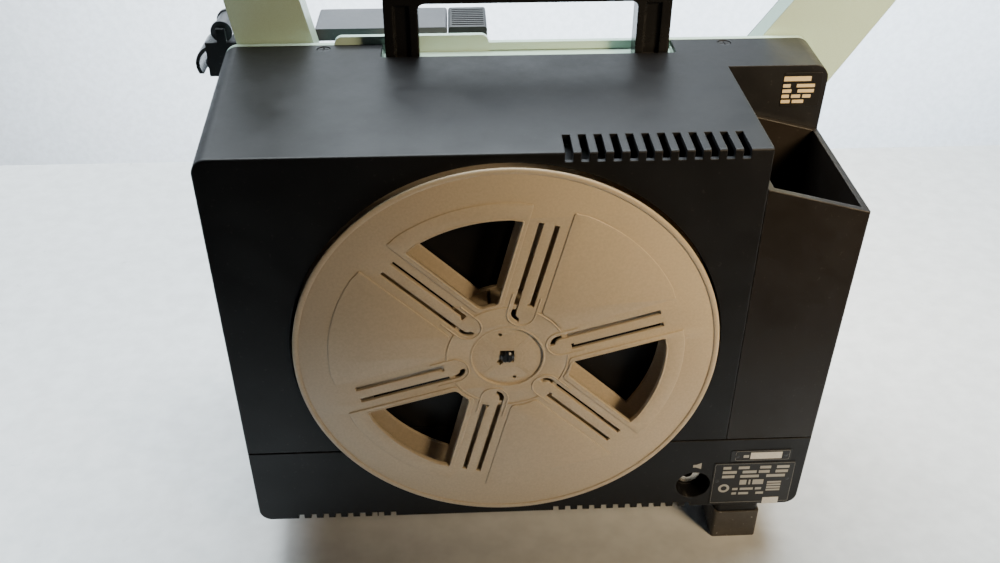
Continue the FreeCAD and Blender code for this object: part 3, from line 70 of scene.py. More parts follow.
# ---- materials --------------------------------------------------------------------------------
class Nodes:
    """Short way to add and join shader nodes."""

    def __init__(self, name):
        self.material = bpy.data.materials.new(name)
        self.material.use_nodes = True
        self.tree = self.material.node_tree
        self.shader = self.tree.nodes["Principled BSDF"]
        self.place = self.tree.nodes.new("ShaderNodeTexCoord").outputs["Object"]

    def add(self, kind, **values):
        """New node; values name its properties."""
        node = self.tree.nodes.new(kind)
        for key, value in values.items():
            setattr(node, key, value)
        return node

    def link(self, output, target):
        """Join an output to an input."""
        self.tree.links.new(output, target)

    def noise(self, scale, detail=3.0, roughness=0.55, stretch=None):
        """Noise over the object's own coordinates, features about 1 / scale metres."""
        node = self.add("ShaderNodeTexNoise")
        node.inputs["Scale"].default_value = scale
        node.inputs["Detail"].default_value = detail
        node.inputs["Roughness"].default_value = roughness
        place = self.place
        if stretch:
            mapping = self.add("ShaderNodeMapping")
            mapping.inputs["Scale"].default_value = stretch
            self.link(place, mapping.inputs["Vector"])
            place = mapping.outputs["Vector"]
        self.link(place, node.inputs["Vector"])
        return node.outputs["Fac"]

    def spread(self, value, low_in, high_in, low_out, high_out):
        """Map a value from one range to another, held at the ends."""
        node = self.add("ShaderNodeMapRange")
        for key, number in zip(("From Min", "From Max", "To Min", "To Max"),
                               (low_in, high_in, low_out, high_out)):
            node.inputs[key].default_value = number
        self.link(value, node.inputs["Value"])
        return node.outputs["Result"]

    def blend(self, factor, first, second):
        """Mix two colours; each is a tuple or an output."""
        node = self.add("ShaderNodeMix", data_type="RGBA")
        colours = [s for s in node.inputs if s.type == "RGBA"]
        for socket, colour in zip(colours, (first, second)):
            if isinstance(colour, tuple):
                socket.default_value = (*colour, 1)
            else:
                self.link(colour, socket)
        factor_in = [s for s in node.inputs if s.name == "Factor" and s.type == "VALUE"][0]
        self.link(factor, factor_in)
        return [s for s in node.outputs if s.type == "RGBA"][0]

    def product(self, first, second):
        """Two values multiplied."""
        node = self.add("ShaderNodeMath", operation="MULTIPLY")
        self.link(first, node.inputs[0])
        self.link(second, node.inputs[1])
        return node.outputs[0]

    def edges(self, radius):
        """Mask that is one on the object's sharp edges."""
        bevel = self.add("ShaderNodeBevel", samples=4)
        bevel.inputs["Radius"].default_value = radius
        geometry = self.add("ShaderNodeNewGeometry")
        dot = self.add("ShaderNodeVectorMath", operation="DOT_PRODUCT")
        self.link(bevel.outputs["Normal"], dot.inputs[0])
        self.link(geometry.outputs["Normal"], dot.inputs[1])
        return self.spread(dot.outputs["Value"], 0.995, 0.86, 0.0, 1.0)


PATCH_SCALE = 14.0
WEAR_SCALE = 160.0
FLECK_SCALE = 420.0
FILM_SCALE = 26.0
SMUDGE_SCALE = 38.0
SMEAR_SCALE = 60.0
GRAIN_SHADE = 0.72
LEAST_WEAR_RADIUS = 0.3
FILM_SHARE = 0.25
FILM_COLOUR = (0.35, 0.34, 0.32)
FLECK_COLOUR = (0.55, 0.53, 0.5)
COAT_ROUGHNESS = 0.18


def tone(colour, factor):
    """A colour made lighter or darker."""
    return tuple(min(1.0, c * factor) for c in colour)


def finish(name, colour, rough=0.5, metal=0.0, patch=0.12, grain=900.0, bump=0.25, depth=0.06,
           rough_spread=0.08, wear=None, wear_amount=0.5, dust=0.0, coat=0.0, edge=0.5,
           specular=0.5, stretch=None):
    """Procedural surface: patchy colour, fine grain, roughness change, edge wear and dust.

    grain is the number of grain features per metre, depth the grain's height in millimetres and
    edge the softened edge's radius in millimetres.
    """
    n = Nodes(name)
    broad = n.noise(PATCH_SCALE, 4.0)
    fine = n.noise(grain, 2.0, 0.6, stretch)
    base = n.blend(n.spread(broad, 0.3, 0.7, 0.0, 1.0), tone(colour, 1 - patch), tone(colour, 1 + patch))
    base = n.blend(n.spread(fine, 0.35, 0.65, 0.0, 0.35), base, tone(colour, GRAIN_SHADE))
    if wear:
        spots = n.spread(n.noise(WEAR_SCALE, 5.0, 0.7), 0.45, 0.62, 0.0, wear_amount)
        base = n.blend(n.product(n.edges(max(edge, LEAST_WEAR_RADIUS) * MM), spots), base, wear)
    if dust:
        flecks = n.spread(n.noise(FLECK_SCALE, 1.0), 0.70, 0.78, 0.0, dust)
        film = n.spread(n.noise(FILM_SCALE, 5.0, 0.7), 0.45, 0.8, 0.0, dust * FILM_SHARE)
        base = n.blend(film, base, FILM_COLOUR)
        base = n.blend(flecks, base, FLECK_COLOUR)
    n.link(base, n.shader.inputs["Base Color"])
    smudge = n.noise(SMUDGE_SCALE, 5.0, 0.65)
    n.link(n.spread(smudge, 0.3, 0.7, rough - rough_spread, rough + rough_spread),
           n.shader.inputs["Roughness"])
    n.shader.inputs["Metallic"].default_value = metal
    n.shader.inputs["Specular IOR Level"].default_value = specular
    n.shader.inputs["Coat Weight"].default_value = coat
    n.shader.inputs["Coat Roughness"].default_value = COAT_ROUGHNESS
    rounding = n.add("ShaderNodeBevel", samples=4)
    rounding.inputs["Radius"].default_value = edge * MM
    relief = n.add("ShaderNodeBump")
    relief.inputs["Strength"].default_value = bump
    relief.inputs["Distance"].default_value = depth * MM
    n.link(fine, relief.inputs["Height"])
    n.link(rounding.outputs["Normal"], relief.inputs["Normal"])
    n.link(relief.outputs["Normal"], n.shader.inputs["Normal"])
    return n.material


def glass(name, tint):
    """Coated glass with faint smears."""
    n = Nodes(name)
    n.shader.inputs["Base Color"].default_value = (*tint, 1)
    n.shader.inputs["Transmission Weight"].default_value = 0.9
    n.shader.inputs["IOR"].default_value = 1.5
    n.link(n.spread(n.noise(SMEAR_SCALE, 4.0), 0.4, 0.8, 0.02, 0.1), n.shader.inputs["Roughness"])
    return n.material


CASING = finish("casing_black", (0.0075, 0.0076, 0.0088), rough=0.43, grain=1500.0, bump=0.30, depth=0.04,
                patch=0.10, wear=(0.09, 0.09, 0.095), wear_amount=0.35, dust=0.018, edge=0.9, specular=0.25)
POCKET = finish("pocket_black", (0.0115, 0.0090, 0.0072), rough=0.40, grain=1500.0, bump=0.30, depth=0.04,
                wear=(0.12, 0.10, 0.08), wear_amount=0.5, dust=0.02, edge=0.9, specular=0.30)
MINT = finish("mint_paint", (0.43, 0.58, 0.49), rough=0.36, grain=2400.0, bump=0.2, depth=0.03, patch=0.05,
              wear=(0.30, 0.31, 0.30), wear_amount=0.35, dust=0.05, edge=0.7, coat=0.1)
HANDLE = finish("handle_black", (0.0055, 0.0055, 0.006), rough=0.27, grain=1200.0, bump=0.15, depth=0.03,
                wear=(0.04, 0.04, 0.04), wear_amount=0.4, dust=0.01, edge=1.6, specular=0.4)
REEL_PLASTIC = finish("reel_plastic", (0.55, 0.455, 0.33), rough=0.38, grain=700.0, bump=0.10, depth=0.025,
                      patch=0.045, wear=(0.60, 0.50, 0.38), wear_amount=0.4, dust=0.05, edge=0.25)
BLACK = finish("black_plastic", (0.014, 0.014, 0.015), rough=0.42, grain=1300.0, bump=0.25,
               wear=(0.10, 0.10, 0.10), wear_amount=0.4, dust=0.06, edge=0.5)
BRACKET = finish("black_bracket", (0.014, 0.0145, 0.017), rough=0.30, grain=1800.0, bump=0.15,
                 wear=(0.2, 0.2, 0.2), wear_amount=0.4, dust=0.05, edge=0.5)
GREY = finish("grey_panel", (0.085, 0.088, 0.098), rough=0.40, grain=1600.0, bump=0.25, depth=0.04,
              wear=(0.35, 0.35, 0.36), wear_amount=0.4, dust=0.08, edge=0.6)
ROLLER = finish("roller_grey", (0.07, 0.072, 0.08), rough=0.35, grain=900.0, edge=0.4, dust=0.05)
PLATE = finish("plate_grey", (0.11, 0.115, 0.125), rough=0.42, grain=1700.0, bump=0.25,
               wear=(0.4, 0.4, 0.4), wear_amount=0.5, dust=0.06, edge=0.4)
STEEL = finish("bright_steel", (0.58, 0.58, 0.59), rough=0.27, metal=1.0, grain=1800.0, bump=0.12,
               patch=0.06, edge=0.3, stretch=(1.0, 0.08, 1.0))
ALLOY = finish("alloy", (0.66, 0.67, 0.68), rough=0.33, metal=1.0, grain=1500.0, bump=0.2, patch=0.06,
               edge=0.4, stretch=(0.1, 1.0, 1.0))
POLISHED = finish("polished_steel", (0.72, 0.72, 0.73), rough=0.14, metal=1.0, grain=2500.0, bump=0.05,
                  patch=0.03, edge=0.3, rough_spread=0.05)
DARK_STEEL = finish("dark_steel", (0.05, 0.05, 0.052), rough=0.34, metal=0.8, grain=1500.0, edge=0.3)
RUBBER = finish("foot_rubber", (0.055, 0.050, 0.046), rough=0.78, grain=520.0, bump=0.7, depth=0.18,
                patch=0.2, wear=(0.16, 0.145, 0.13), wear_amount=0.6, dust=0.45, edge=1.0)
CERAMIC = finish("ceramic", (0.72, 0.69, 0.62), rough=0.35, grain=600.0, edge=0.5)
ZINC = finish("zinc_sheet", (0.42, 0.43, 0.45), rough=0.36, metal=0.9, grain=220.0, bump=0.1,
              patch=0.18, edge=0.4)
COPPER = finish("copper_coil", (0.45, 0.20, 0.09), rough=0.35, metal=0.8, grain=2600.0, bump=0.8, depth=0.2,
                stretch=(0.05, 0.05, 1.0))
BOARD = finish("board_green", (0.04, 0.14, 0.06), rough=0.45, grain=320.0, bump=0.3, patch=0.25)
NICKEL = finish("nickel", (0.62, 0.60, 0.55), rough=0.2, metal=1.0, grain=1500.0, bump=0.06, edge=0.3)
LABEL = finish("label_film", (0.0085, 0.0082, 0.0085), rough=0.36, grain=900.0, bump=0.05, edge=0.2,
               specular=0.35)
STICKER = finish("white_sticker", (0.70, 0.68, 0.64), rough=0.55, grain=700.0, bump=0.1, edge=0.1)
MARK = finish("pale_print", (0.40, 0.385, 0.35), rough=0.5, grain=3000.0, bump=0.1, edge=0.1)
GOLD_MARK = finish("gold_print", (0.62, 0.50, 0.30), rough=0.45, grain=3000.0, bump=0.1, edge=0.1)
RED = finish("red_button", (0.40, 0.02, 0.015), rough=0.3, grain=900.0, edge=0.5)
LENS_GLASS = glass("lens_glass", (0.82, 0.88, 0.95))
REFLECTOR = finish("lamp_reflector", (0.75, 0.72, 0.62), rough=0.12, metal=1.0, grain=500.0, bump=0.2,
                   edge=0.2)

MATERIAL_OF = {
    CASING: ("rear_cover", "base_tray"),
    POCKET: ("cord_pocket",),
    MINT: ("main_casting", "front_arm", "rear_arm"),
    HANDLE: ("top_handle",),
    REEL_PLASTIC: ("reel_front_flange", "reel_rear_flange", "reel_core"),
    BLACK: ("inching_knob", "focus_knob", "tone_knob", "volume_knob", "function_knob", "loop_lever",
            "ac_inlet", "front_arm_cover", "rear_arm_cover", "fan_wheel", "speaker_grille", "lamp_house",
            "lamp_door", "ribbed_cover"),
    BRACKET: ("guide_bracket", "lens_holder"),
    GREY: ("film_channel_cover", "control_panel"),
    ROLLER: ("upper_guide_roller", "lower_guide_roller"),
    PLATE: ("mechanism_plate",),
    STEEL: ("feed_spindle", "takeup_spindle", "main_shaft", "motor_rotor", "handle_screws"),
    ALLOY: ("feed_sprocket", "holdback_sprocket", "lens_barrel", "exciter_cover", "elevator_foot"),
    POLISHED: ("sound_drum", "film_gate"),
    DARK_STEEL: ("storage_spindle", "cover_screws", "barrel_shutter"),
    RUBBER: ("rear_feet", "drive_belt"),
    CERAMIC: ("lamp_socket",),
    ZINC: ("blower_housing", "motor_body", "speaker", "transformer_core"),
    COPPER: ("transformer_coil",),
    BOARD: ("amplifier_board",),
    NICKEL: ("speaker_jack",),
    LABEL: ("label_plates",),
    RED: ("lamp_button",),
    LENS_GLASS: ("lens_glass",),
    REFLECTOR: ("projection_lamp",),
}


def dress_nodes():
    """Give every CAD node its material."""
    for material, names in MATERIAL_OF.items():
        for name in names:
            for entry in NODES[name].material_slots:
                entry.material = material


# ---- mesh helpers ---------------------------------------------------------------------------
def add_object(name, mesh, material, body):
    """Object from a mesh, on a body of the frame."""
    obj = bpy.data.objects.new(name, mesh)
    bpy.context.collection.objects.link(obj)
    mesh.materials.clear()
    mesh.materials.append(material)
    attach(obj, body)
    return obj


def facing_plate(outlines, centre, front_y, thickness, bevel):
    """Mesh of a flat plate that faces -Y, from outlines of (x, z) millimetres round a centre.

    The first outline is the plate's edge and the others are holes.
    """
    curve = bpy.data.curves.new("plate_outline", "CURVE")
    curve.dimensions = "2D"
    curve.fill_mode = "BOTH"
    curve.extrude = (thickness / 2 - bevel) * MM
    curve.bevel_depth = bevel * MM
    curve.bevel_resolution = 2
    curve.offset = -bevel * MM
    for outline in outlines:
        spline = curve.splines.new("POLY")
        spline.points.add(len(outline) - 1)
        for point, (x, z) in zip(spline.points, outline):
            point.co = (x * MM, z * MM, 0, 1)
        spline.use_cyclic_u = True
    holder = bpy.data.objects.new("plate_outline", curve)
    bpy.context.collection.objects.link(holder)
    depsgraph = bpy.context.evaluated_depsgraph_get()
    mesh = bpy.data.meshes.new_from_object(holder.evaluated_get(depsgraph))
    bpy.data.objects.remove(holder)
    bpy.data.curves.remove(curve)
    lie_up = Matrix.Rotation(math.radians(90), 4, "X")
    place = Matrix.Translation((centre[0], front_y + thickness / 2 * MM, centre[1]))
    mesh.transform(place @ lie_up)
    work = bmesh.new()
    work.from_mesh(mesh)
    bmesh.ops.remove_doubles(work, verts=work.verts, dist=1e-6)
    bmesh.ops.recalc_face_normals(work, faces=work.faces)
    work.to_mesh(mesh)
    work.free()
    return mesh


def joined(meshes):
    """One mesh from several."""
    work = bmesh.new()
    for mesh in meshes:
        work.from_mesh(mesh)
        bpy.data.meshes.remove(mesh)
    whole = bpy.data.meshes.new("joined")
    work.to_mesh(whole)
    work.free()
    return whole


def circle(r, count=180):
    """Points round a circle."""
    return [(r * math.cos(2 * math.pi * i / count), r * math.sin(2 * math.pi * i / count))
            for i in range(count)]


def arc(cx, cz, r, start, end, count):
    """Points on an arc, angles in degrees."""
    points = []
    for i in range(count + 1):
        a = math.radians(start + (end - start) * i / count)
        points.append((cx + r * math.cos(a), cz + r * math.sin(a)))
    return points


def rounded(points, r, steps=5):
    """Outline with its corners rounded."""
    result = []
    count = len(points)
    for i, corner in enumerate(points):
        here = Vector(corner)
        before = Vector(points[i - 1]) - here
        after = Vector(points[(i + 1) % count]) - here
        reach = min(r, 0.45 * before.length, 0.45 * after.length)
        start = here + before.normalized() * reach
        end = here + after.normalized() * reach
        for k in range(steps + 1):
            t = k / steps
            spot = start * (1 - t) ** 2 + here * 2 * t * (1 - t) + end * t ** 2
            result.append((spot.x, spot.y))
    return result


def along(angle, points):
    """Points given as (outward, sideways) turned to a spoke's angle."""
    a = math.radians(angle)
    return [(u * math.cos(a) - v * math.sin(a), u * math.sin(a) + v * math.cos(a)) for u, v in points]


def lathe(name, profile, centre, count=160):
    """Mesh turned about an axis along Y; profile is (radius, y) in millimetres, closed."""
    work = bmesh.new()
    rings = []
    for i in range(count):
        a = 2 * math.pi * i / count
        ring = []
        for r, y in profile:
            ring.append(work.verts.new((centre.x + r * MM * math.cos(a), centre.y + y * MM,
                                        centre.z + r * MM * math.sin(a))))
        rings.append(ring)
    size = len(profile)
    for i in range(count):
        for k in range(size):
            a, b = rings[i], rings[(i + 1) % count]
            face = work.faces.new((a[k], a[(k + 1) % size], b[(k + 1) % size], b[k]))
            face.smooth = True
    bmesh.ops.recalc_face_normals(work, faces=work.faces)
    mesh = bpy.data.meshes.new(name)
    work.to_mesh(mesh)
    work.free()
    return mesh


def ridge(points, width, height, front_y, centre):
    """Low moulded ridge along a line of (x, z) millimetres, rising to -Y from front_y."""
    profile = [(-width / 2, 0.05), (-width * 0.25, -height), (width * 0.25, -height), (width / 2, 0.05)]
    work = bmesh.new()
    count = len(points)
    rings = []
    for i, spot in enumerate(points):
        before = Vector(points[max(i - 1, 0)])
        after = Vector(points[min(i + 1, count - 1)])
        way = (after - before).normalized()
        side = Vector((-way.y, way.x))
        ring = []
        for u, y in profile:
            ring.append(work.verts.new((centre.x + (spot[0] + side.x * u) * MM, front_y + y * MM,
                                        centre.z + (spot[1] + side.y * u) * MM)))
        rings.append(ring)
    size = len(profile)
    for a, b in zip(rings, rings[1:]):
        for k in range(size):
            work.faces.new((a[k], a[(k + 1) % size], b[(k + 1) % size], b[k]))
    work.faces.new(rings[0])
    work.faces.new(rings[-1])
    bmesh.ops.recalc_face_normals(work, faces=work.faces)
    mesh = bpy.data.meshes.new("ridge")
    work.to_mesh(mesh)
    work.free()
    return mesh


# ---- the stored reel -------------------------------------------------------------------------
SPOKES = [16.0 + 60.0 * i for i in range(6)]
SLOT_OFFSET = 4.4
SLOT_HALF = 1.35
SLOT_END = 90.8
HOOK_U = 31.5
SHORT_SLOT_U = 37.2
BOSS_R = 8.0
PANEL_OFFSET = 11.2
WINDOW_OFFSET = 14.3
WINDOW_R = (38.0, 91.6)
PANEL_R = 102.0
RING_R = 34.8
DISC_R = 20.4
WEB_Y = 0.9
WEB_T = 2.0
PANEL_RISE = 0.6
LIP_T = 1.0
LIP_DEPTH = 3.2
LIP_RISE = 0.25
SLOT_STEP = (1.7, 1.3)
CORNER_R = 2.0
BOSS_END_U = 44.0
SQUARE_HALF = 4.1
KEY_NOTCH = (7.6, 1.6)
KEY_SIDE = 2.2
KEY_ANGLE = 225
DISC_SINK = 1.2
RIVET_ANGLES = (105, -75)
RIVET_U = 16.0
RIVET_HOLE_R = 1.1
MARK_R = 13.5
MARK_ANGLES = (190, 218)
RIM_INSET = 0.6
EDGE_INSET = 1.4


def hooked_slot(angle):
    """Slot that runs in and curls round the inner end of the spoke."""
    near = SLOT_OFFSET - SLOT_HALF
    far = SLOT_OFFSET + SLOT_HALF
    points = [(SLOT_END, far), (SLOT_END, near), (HOOK_U, near)]
    points += arc(HOOK_U, 0, near, 100, 172, 6)
    points += arc(HOOK_U, 0, far, 178, 95, 10)
    return along(angle, points)


def straight_slot(angle):
    """Slot with a square inner end and a small step towards the spoke."""
    near = -SLOT_OFFSET - SLOT_HALF
    far = -SLOT_OFFSET + SLOT_HALF
    inner = SHORT_SLOT_U
    step_u, step_v = SLOT_STEP
    return along(angle, [(SLOT_END, near), (inner, near), (inner, far + step_v),
                         (inner + step_u, far + step_v), (inner + step_u, far), (SLOT_END, far)])


def clear_of_ends(points, gap):
    """Points of a chain that lie farther than a gap from both of its ends."""
    return [p for p in points if math.dist(p, points[0]) > gap and math.dist(p, points[-1]) > gap]


def sector(offset, r_in, r_out, angle, corner):
    """Outline between two spokes, kept an offset away from each centre line."""
    def edge_angle(r):
        return math.degrees(math.asin(offset / r))
    low_in, high_in = angle + edge_angle(r_in), angle + 60 - edge_angle(r_in)
    low_out, high_out = angle + edge_angle(r_out), angle + 60 - edge_angle(r_out)
    outer = arc(0, 0, r_out, low_out, high_out, 24)
    inner = arc(0, 0, r_in, high_in, low_in, 10)
    joint = rounded([outer[0], outer[-1], inner[0], inner[-1]], corner)
    steps = len(joint) // 4
    gap = 2.2 * corner
    return (joint[:steps] + clear_of_ends(outer, gap) + joint[steps:3 * steps]
            + clear_of_ends(inner, gap) + joint[3 * steps:])


def window(angle, grow=0.0):
    """Outline of a see-through sector, made larger all round by grow."""
    return sector(WINDOW_OFFSET - grow, WINDOW_R[0] - grow, WINDOW_R[1] + grow, angle, CORNER_R + grow)


def square_hole():
    """Square hole with its key notch."""
    h = SQUARE_HALF
    inner = -h + KEY_SIDE
    reach, half = KEY_NOTCH
    notch = along(KEY_ANGLE, [(reach, half), (reach, -half)])
    return [(h, h), (-h, h), (-h, inner), notch[1], notch[0], (inner, -h), (h, -h)]


def hub_disc(centre):
    """Sunk disc in the middle with the square hole and two rivet holes."""
    rivets = []
    for angle in RIVET_ANGLES:
        x, z = along(angle, [(RIVET_U, 0)])[0]
        rivets.append([(x + dx, z + dz) for dx, dz in circle(RIVET_HOLE_R, 14)])
    sunk = REEL.y + (WEB_Y + DISC_SINK) * MM
    disc = facing_plate([circle(DISC_R + 0.5), square_hole()] + rivets, centre, sunk, 1.0, 0.1)
    wall = [(DISC_R, WEB_Y + 2.3), (DISC_R, WEB_Y + 0.2), (DISC_R + 0.2, WEB_Y - 0.15),
            (DISC_R + 0.7, WEB_Y - 0.3), (DISC_R + 1.3, WEB_Y - 0.1), (DISC_R + 1.6, WEB_Y + 0.1),
            (DISC_R + 1.2, WEB_Y + 2.3)]
    mark = ridge(arc(0, 0, MARK_R, *MARK_ANGLES, 8), 0.7, 0.2, sunk, REEL)
    return [disc, lathe("disc_wall", wall, REEL, 160), mark]


def rim_bead():
    """Round bead along the flange's edge."""
    rim = REEL_R / MM - RIM_INSET
    bead = [(rim - 2.6, WEB_Y + 0.2), (rim - 2.4, 0.4), (rim - 1.8, 0.1), (rim - 1.0, 0.0),
            (rim - 0.1, 0.1), (rim + 0.5, 0.5), (rim + 0.6, 1.4), (rim + 0.3, 2.4), (rim - 0.8, 2.6),
            (rim - 2.4, 2.3)]
    return lathe("bead", bead, REEL, 240)


def front_flange():
    """Front flange with raised sectors, hooked slots, ridged bosses, hub ring and rim bead."""
    centre = (REEL.x, REEL.z)
    web = REEL.y + WEB_Y * MM
    open_sectors = [SPOKES[i] for i in (1, 3, 5)]
    holes = [window(a) for a in open_sectors]
    slots = [hooked_slot(a) for a in SPOKES] + [straight_slot(a) for a in SPOKES]
    edge = circle(REEL_R / MM - EDGE_INSET, 240)
    meshes = [facing_plate([edge, circle(DISC_R + 0.6)] + holes + slots, centre, web, WEB_T, 0.28)]
    meshes += hub_disc(centre)
    for i, angle in enumerate(SPOKES):
        outline = [sector(PANEL_OFFSET, RING_R + 1.6, PANEL_R, angle, CORNER_R)]
        if i % 2:
            outline.append(window(angle, LIP_T - 0.2))
        meshes.append(facing_plate(outline, centre, web - PANEL_RISE * MM, PANEL_RISE + 0.2, 0.15))
        boss = [(BOSS_END_U, -BOSS_R)] + arc(HOOK_U, 0, BOSS_R, -90, -270, 20) + [(BOSS_END_U, BOSS_R)]
        meshes.append(ridge(along(angle, boss), 1.1, 0.5, web, REEL))
        gap = math.degrees(math.asin((BOSS_R + 0.6) / RING_R))
        ring = arc(0, 0, RING_R, angle + gap, angle + 60 - gap, 24)
        meshes.append(ridge(ring, 1.0, 0.5, web, REEL))
    lip_y = web - (PANEL_RISE + LIP_RISE) * MM
    for angle in open_sectors:
        lip = [window(angle, LIP_T), window(angle)]
        meshes.append(facing_plate(lip, centre, lip_y, LIP_DEPTH, 0.35))
    meshes.append(rim_bead())
    obj = add_object("reel_front_moulding", joined(meshes), REEL_PLASTIC, "reel")
    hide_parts("reel_front_flange")
    smooth_by_angle(obj)


def smooth_by_angle(obj, degrees=32.0):
    """Smooth shading except at sharp edges."""
    limit = math.radians(degrees)
    work = bmesh.new()
    work.from_mesh(obj.data)
    for face in work.faces:
        face.smooth = True
    for edge in work.edges:
        edge.smooth = len(edge.link_faces) == 2 and edge.calc_face_angle(math.pi) < limit
    work.to_mesh(obj.data)
    work.free()


# ---- labels and prints ------------------------------------------------------------------------
PRINT_T = 0.12
PLATES = low("label_plates")
PLATE_FACE_Y = PLATES.y
VOLTAGE = Vector((PLATES.x + 12.0 * MM, 0, PLATES.z + 37.5 * MM))
RATING_ROWS = [[5, -2, 7, -4, 7, -1, 8], [9, -1, 9, 7, -1, 8], [8, -1, 12, -2, 12]]
NAME_ROW = [[4.4, 1.2, 7.0]]
SMALL_ROWS = [[3.5, 8.5, 4.0], [3, 6.5, -2, 5]]
SIDE_ROWS = [[9], [9], [9], [9]]
NOTICE_ROWS = [[16.5], [4.5, -1, 11], [5.5, -1, 10], [4.5, 5.5, 5], [5.5, 7]]
BAR_GAP = 1.4
HORN = [(0, 1.5), (1.7, 1.5), (4.6, 0), (4.6, 5.2), (1.7, 3.7), (0, 3.7)]
HORN_STRETCH = 1.15
RIVET_PROFILE = [(0.02, -0.25), (0.9, -0.2), (1.35, -0.05), (1.5, 0.3), (0.02, 0.3)]


def block(x, z, width, height, face_y, t=PRINT_T):
    """Thin printed block facing -Y, its lower left corner at x and z in metres, its size in millimetres."""
    outline = [(0, 0), (width, 0), (width, height), (0, height)]
    return facing_plate([outline], (x, z), face_y - t * 0.6 * MM, t, 0.015)


def frame_line(x, z, width, height, line, face_y):
    """Thin printed frame."""
    outer = rounded([(0, 0), (width, 0), (width, height), (0, height)], 1.2, 4)
    w, h = width - line, height - line
    inner = rounded([(line, line), (w, line), (w, h), (line, h)], 1.0, 4)
    return facing_plate([outer, inner], (x, z), face_y - 0.05 * MM, 0.1, 0.012)


def ruled_rows(x, z_top, rows, row_step, bar_height, face_y):
    """Rows of plain bars that stand for small print; a negative width is an empty space."""
    meshes = []
    for k, row in enumerate(rows):
        left = 0.0
        for width in row:
            if width > 0:
                meshes.append(block(x + left * MM, z_top - k * row_step * MM, width, bar_height, face_y))
            left += abs(width) + BAR_GAP
    return meshes


def pictogram(x, z, face_y):
    """Plain loudspeaker sign: a square and a flared horn."""
    outline = [(u * HORN_STRETCH, v) for u, v in HORN]
    bar = block(x + 2.4 * MM, z + 1.7 * MM, 0.35, 1.8, face_y - 0.1 * MM)
    return facing_plate([outline], (x, z), face_y - 0.06 * MM, PRINT_T, 0.015), bar


def disc_mark(x, z, r, face_y):
    """Printed ring."""
    return facing_plate([circle(r, 32), circle(r * 0.55, 24)], (x, z), face_y - 0.06 * MM, PRINT_T, 0.015)


def printed_labels():
    """Generic marks on the tray's plates and a plain sign above the socket."""
    x, y, z = PLATES.x, PLATE_FACE_Y, PLATES.z
    pale = ruled_rows(x + 6 * MM, z + 30.6 * MM, RATING_ROWS, 3.8, 2.3, y)
    pale += ruled_rows(x + 18 * MM, z + 16.8 * MM, NAME_ROW, 5, 4.2, y)
    pale += ruled_rows(x + 14 * MM, z + 12.0 * MM, SMALL_ROWS, 4.0, 1.9, y)
    pale.append(disc_mark(x + 8.3 * MM, z + 13.9 * MM, 3.6, y))
    pale += ruled_rows(x + 36 * MM, z + 17.6 * MM, SIDE_ROWS, 2.3, 1.5, y)
    pale.append(frame_line(x + 0.8 * MM, z + 1.0 * MM, 50.9, 34.2, 0.12, y))
    pale.append(frame_line(VOLTAGE.x + 0.6 * MM, VOLTAGE.z + 0.6 * MM, 34.3, 7.8, 0.12, y))
    pale.append(block(VOLTAGE.x + 5.6 * MM, VOLTAGE.z + 3.0 * MM, 3.4, 2.2, y))
    prints = add_object("label_marks", joined(pale), MARK, "chassis")
    white = [block(VOLTAGE.x + 10 * MM, VOLTAGE.z + 1.8 * MM, 20.0, 5.4, y, 0.2),
             block(x + 35.0 * MM, z - 1.2 * MM, 10.4, 5.8, y, 0.2)]
    stickers = add_object("paper_stickers", joined(white), STICKER, "chassis")
    jack = middle("speaker_jack")
    horn = pictogram(jack.x + 0.4 * MM, jack.z + 12.0 * MM, FACE_Y)
    sign = add_object("loudspeaker_sign", joined(horn), MARK, "chassis")


def notice_marks():
    """Bars on the dark notice behind the pocket."""
    corner = high("label_plates")
    x = corner.x - 23.5 * MM
    y = corner.y - 0.4 * MM
    meshes = ruled_rows(x, corner.z - 5.2 * MM, NOTICE_ROWS[:1], 3.4, 3.0, y)
    meshes += ruled_rows(x, corner.z - 9.2 * MM, NOTICE_ROWS[1:], 3.4, 2.1, y)
    notice = add_object("notice_marks", joined(meshes), GOLD_MARK, "chassis")


def tray_rivets():
    """Small sunk rivet heads beside the voltage window and on the rating plate."""
    seats = [(VOLTAGE.x + 1.6 * MM, VOLTAGE.z + 4.2 * MM), (VOLTAGE.x + 32.6 * MM, VOLTAGE.z + 4.6 * MM),
             (PLATES.x + 3.0 * MM, PLATES.z + 20.5 * MM), (PLATES.x + 48.4 * MM, PLATES.z + 21.3 * MM)]
    meshes = []
    for x, z in seats:
        meshes.append(lathe("rivet", RIVET_PROFILE, Vector((x, PLATE_FACE_Y, z)), 24))
    rivets = add_object("tray_rivets", joined(meshes), DARK_STEEL, "chassis")
    smooth_by_angle(rivets)


# ---- stage, light, camera ----------------------------------------------------------------------
def stage_plane(name, corners, material):
    """Flat stage piece."""
    mesh = bpy.data.meshes.new(name)
    mesh.from_pydata(corners, [], [(0, 1, 2, 3)])
    obj = bpy.data.objects.new(name, mesh)
    bpy.context.collection.objects.link(obj)
    mesh.materials.append(material)


TABLE_END = high("rear_cover").y + 0.425
TABLE_FRONT = FACE_Y - 0.17
TABLE_HALF = 3
WALL_Y = TABLE_END + 1.9
WALL_HALF = 5
WALL_DROP = 2.2
WALL_RISE = 4


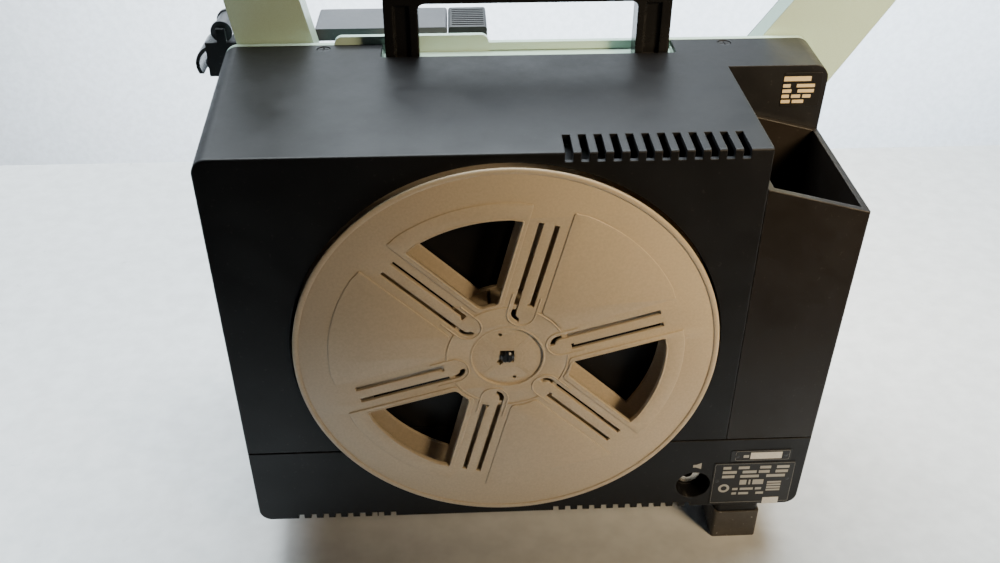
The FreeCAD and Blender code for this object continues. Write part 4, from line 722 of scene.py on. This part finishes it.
def build_stage():
    """Pale table and a pale backdrop well behind its far edge."""
    plain = {"grain": 60.0, "bump": 0.0, "patch": 0.01, "edge": 0.0}
    table = finish("stage_table", (0.80, 0.82, 0.83), rough=0.35, **plain)
    wall = finish("stage_wall", (0.82, 0.86, 0.91), rough=0.9, **plain)
    z = FLOOR_Z
    h = TABLE_HALF
    stage_plane("table", [(-h, TABLE_FRONT, z), (h, TABLE_FRONT, z), (h, TABLE_END, z), (-h, TABLE_END, z)],
                table)
    h = WALL_HALF
    low_z = z - WALL_DROP
    high_z = z + WALL_RISE
    stage_plane("backdrop", [(-h, WALL_Y, low_z), (h, WALL_Y, low_z), (h, WALL_Y, high_z),
                             (-h, WALL_Y, high_z)], wall)


# name, place, aim, size, power, colour, spread in degrees
LIGHTS = [
    ("back_soft", (-0.55, 1.25, 1.70), (0, 0, 0.15), (2.4, 1.2), 58, (0.84, 0.93, 1.0), 180),
    ("overhead", (0.05, 0.52, 1.95), (0.05, 0.46, 0), (1.9, 1.0), 96, (0.90, 0.98, 1.0), 180),
    ("key_right", (0.66, -0.72, 0.74), (0.26, 0, 0.33), (0.35, 0.35), 2.6, (1.0, 0.76, 0.46), 46),
    ("wall_wash", (0.4, WALL_Y - 1.3, 0.1), (0.3, WALL_Y, -0.95), (3.4, 0.8), 112, (0.84, 0.93, 1.0), 130),
]
SKY_COLOUR = (0.86, 0.92, 1.0)
SKY_STRENGTH = 0.02


def area_light(name, place, aim, size, power, colour, spread):
    """Soft rectangular light."""
    lamp = bpy.data.lights.new(name, "AREA")
    lamp.shape = "RECTANGLE"
    lamp.size, lamp.size_y = size
    lamp.energy = power
    lamp.color = colour
    lamp.spread = math.radians(spread)
    obj = bpy.data.objects.new(name, lamp)
    bpy.context.collection.objects.link(obj)
    obj.location = place
    obj.rotation_euler = (Vector(aim) - Vector(place)).to_track_quat("-Z", "Y").to_euler()


def build_lights():
    """Cool soft light from above and behind, a warm one from the right, a wash on the backdrop."""
    for light in LIGHTS:
        area_light(*light)
    world = bpy.data.worlds.new("studio")
    bpy.context.scene.world = world
    world.use_nodes = True
    background = world.node_tree.nodes["Background"]
    background.inputs["Color"].default_value = (*SKY_COLOUR, 1)
    background.inputs["Strength"].default_value = SKY_STRENGTH


CAMERA_FROM_REEL = (-0.0245, -0.4544, 0.3618)
CAMERA_PITCH = 34.13
CAMERA_YAW = -2.55
FOCAL_PER_WIDTH = 1.0111
SENSOR = 36.0


def build_camera():
    """Camera in front of the reel, above it and looking down."""
    lens = bpy.data.cameras.new("camera")
    lens.sensor_width = SENSOR
    lens.lens = SENSOR * FOCAL_PER_WIDTH
    lens.clip_start = 10 * MM
    obj = bpy.data.objects.new("camera", lens)
    bpy.context.collection.objects.link(obj)
    obj.location = REEL + Vector(CAMERA_FROM_REEL)
    obj.rotation_euler = (math.radians(90 - CAMERA_PITCH), 0, math.radians(CAMERA_YAW))
    bpy.context.scene.camera = obj


# ---- build --------------------------------------------------------------------------------------
dress_nodes()
front_flange()
printed_labels()
notice_marks()
tray_rivets()
build_stage()
build_lights()
build_camera()
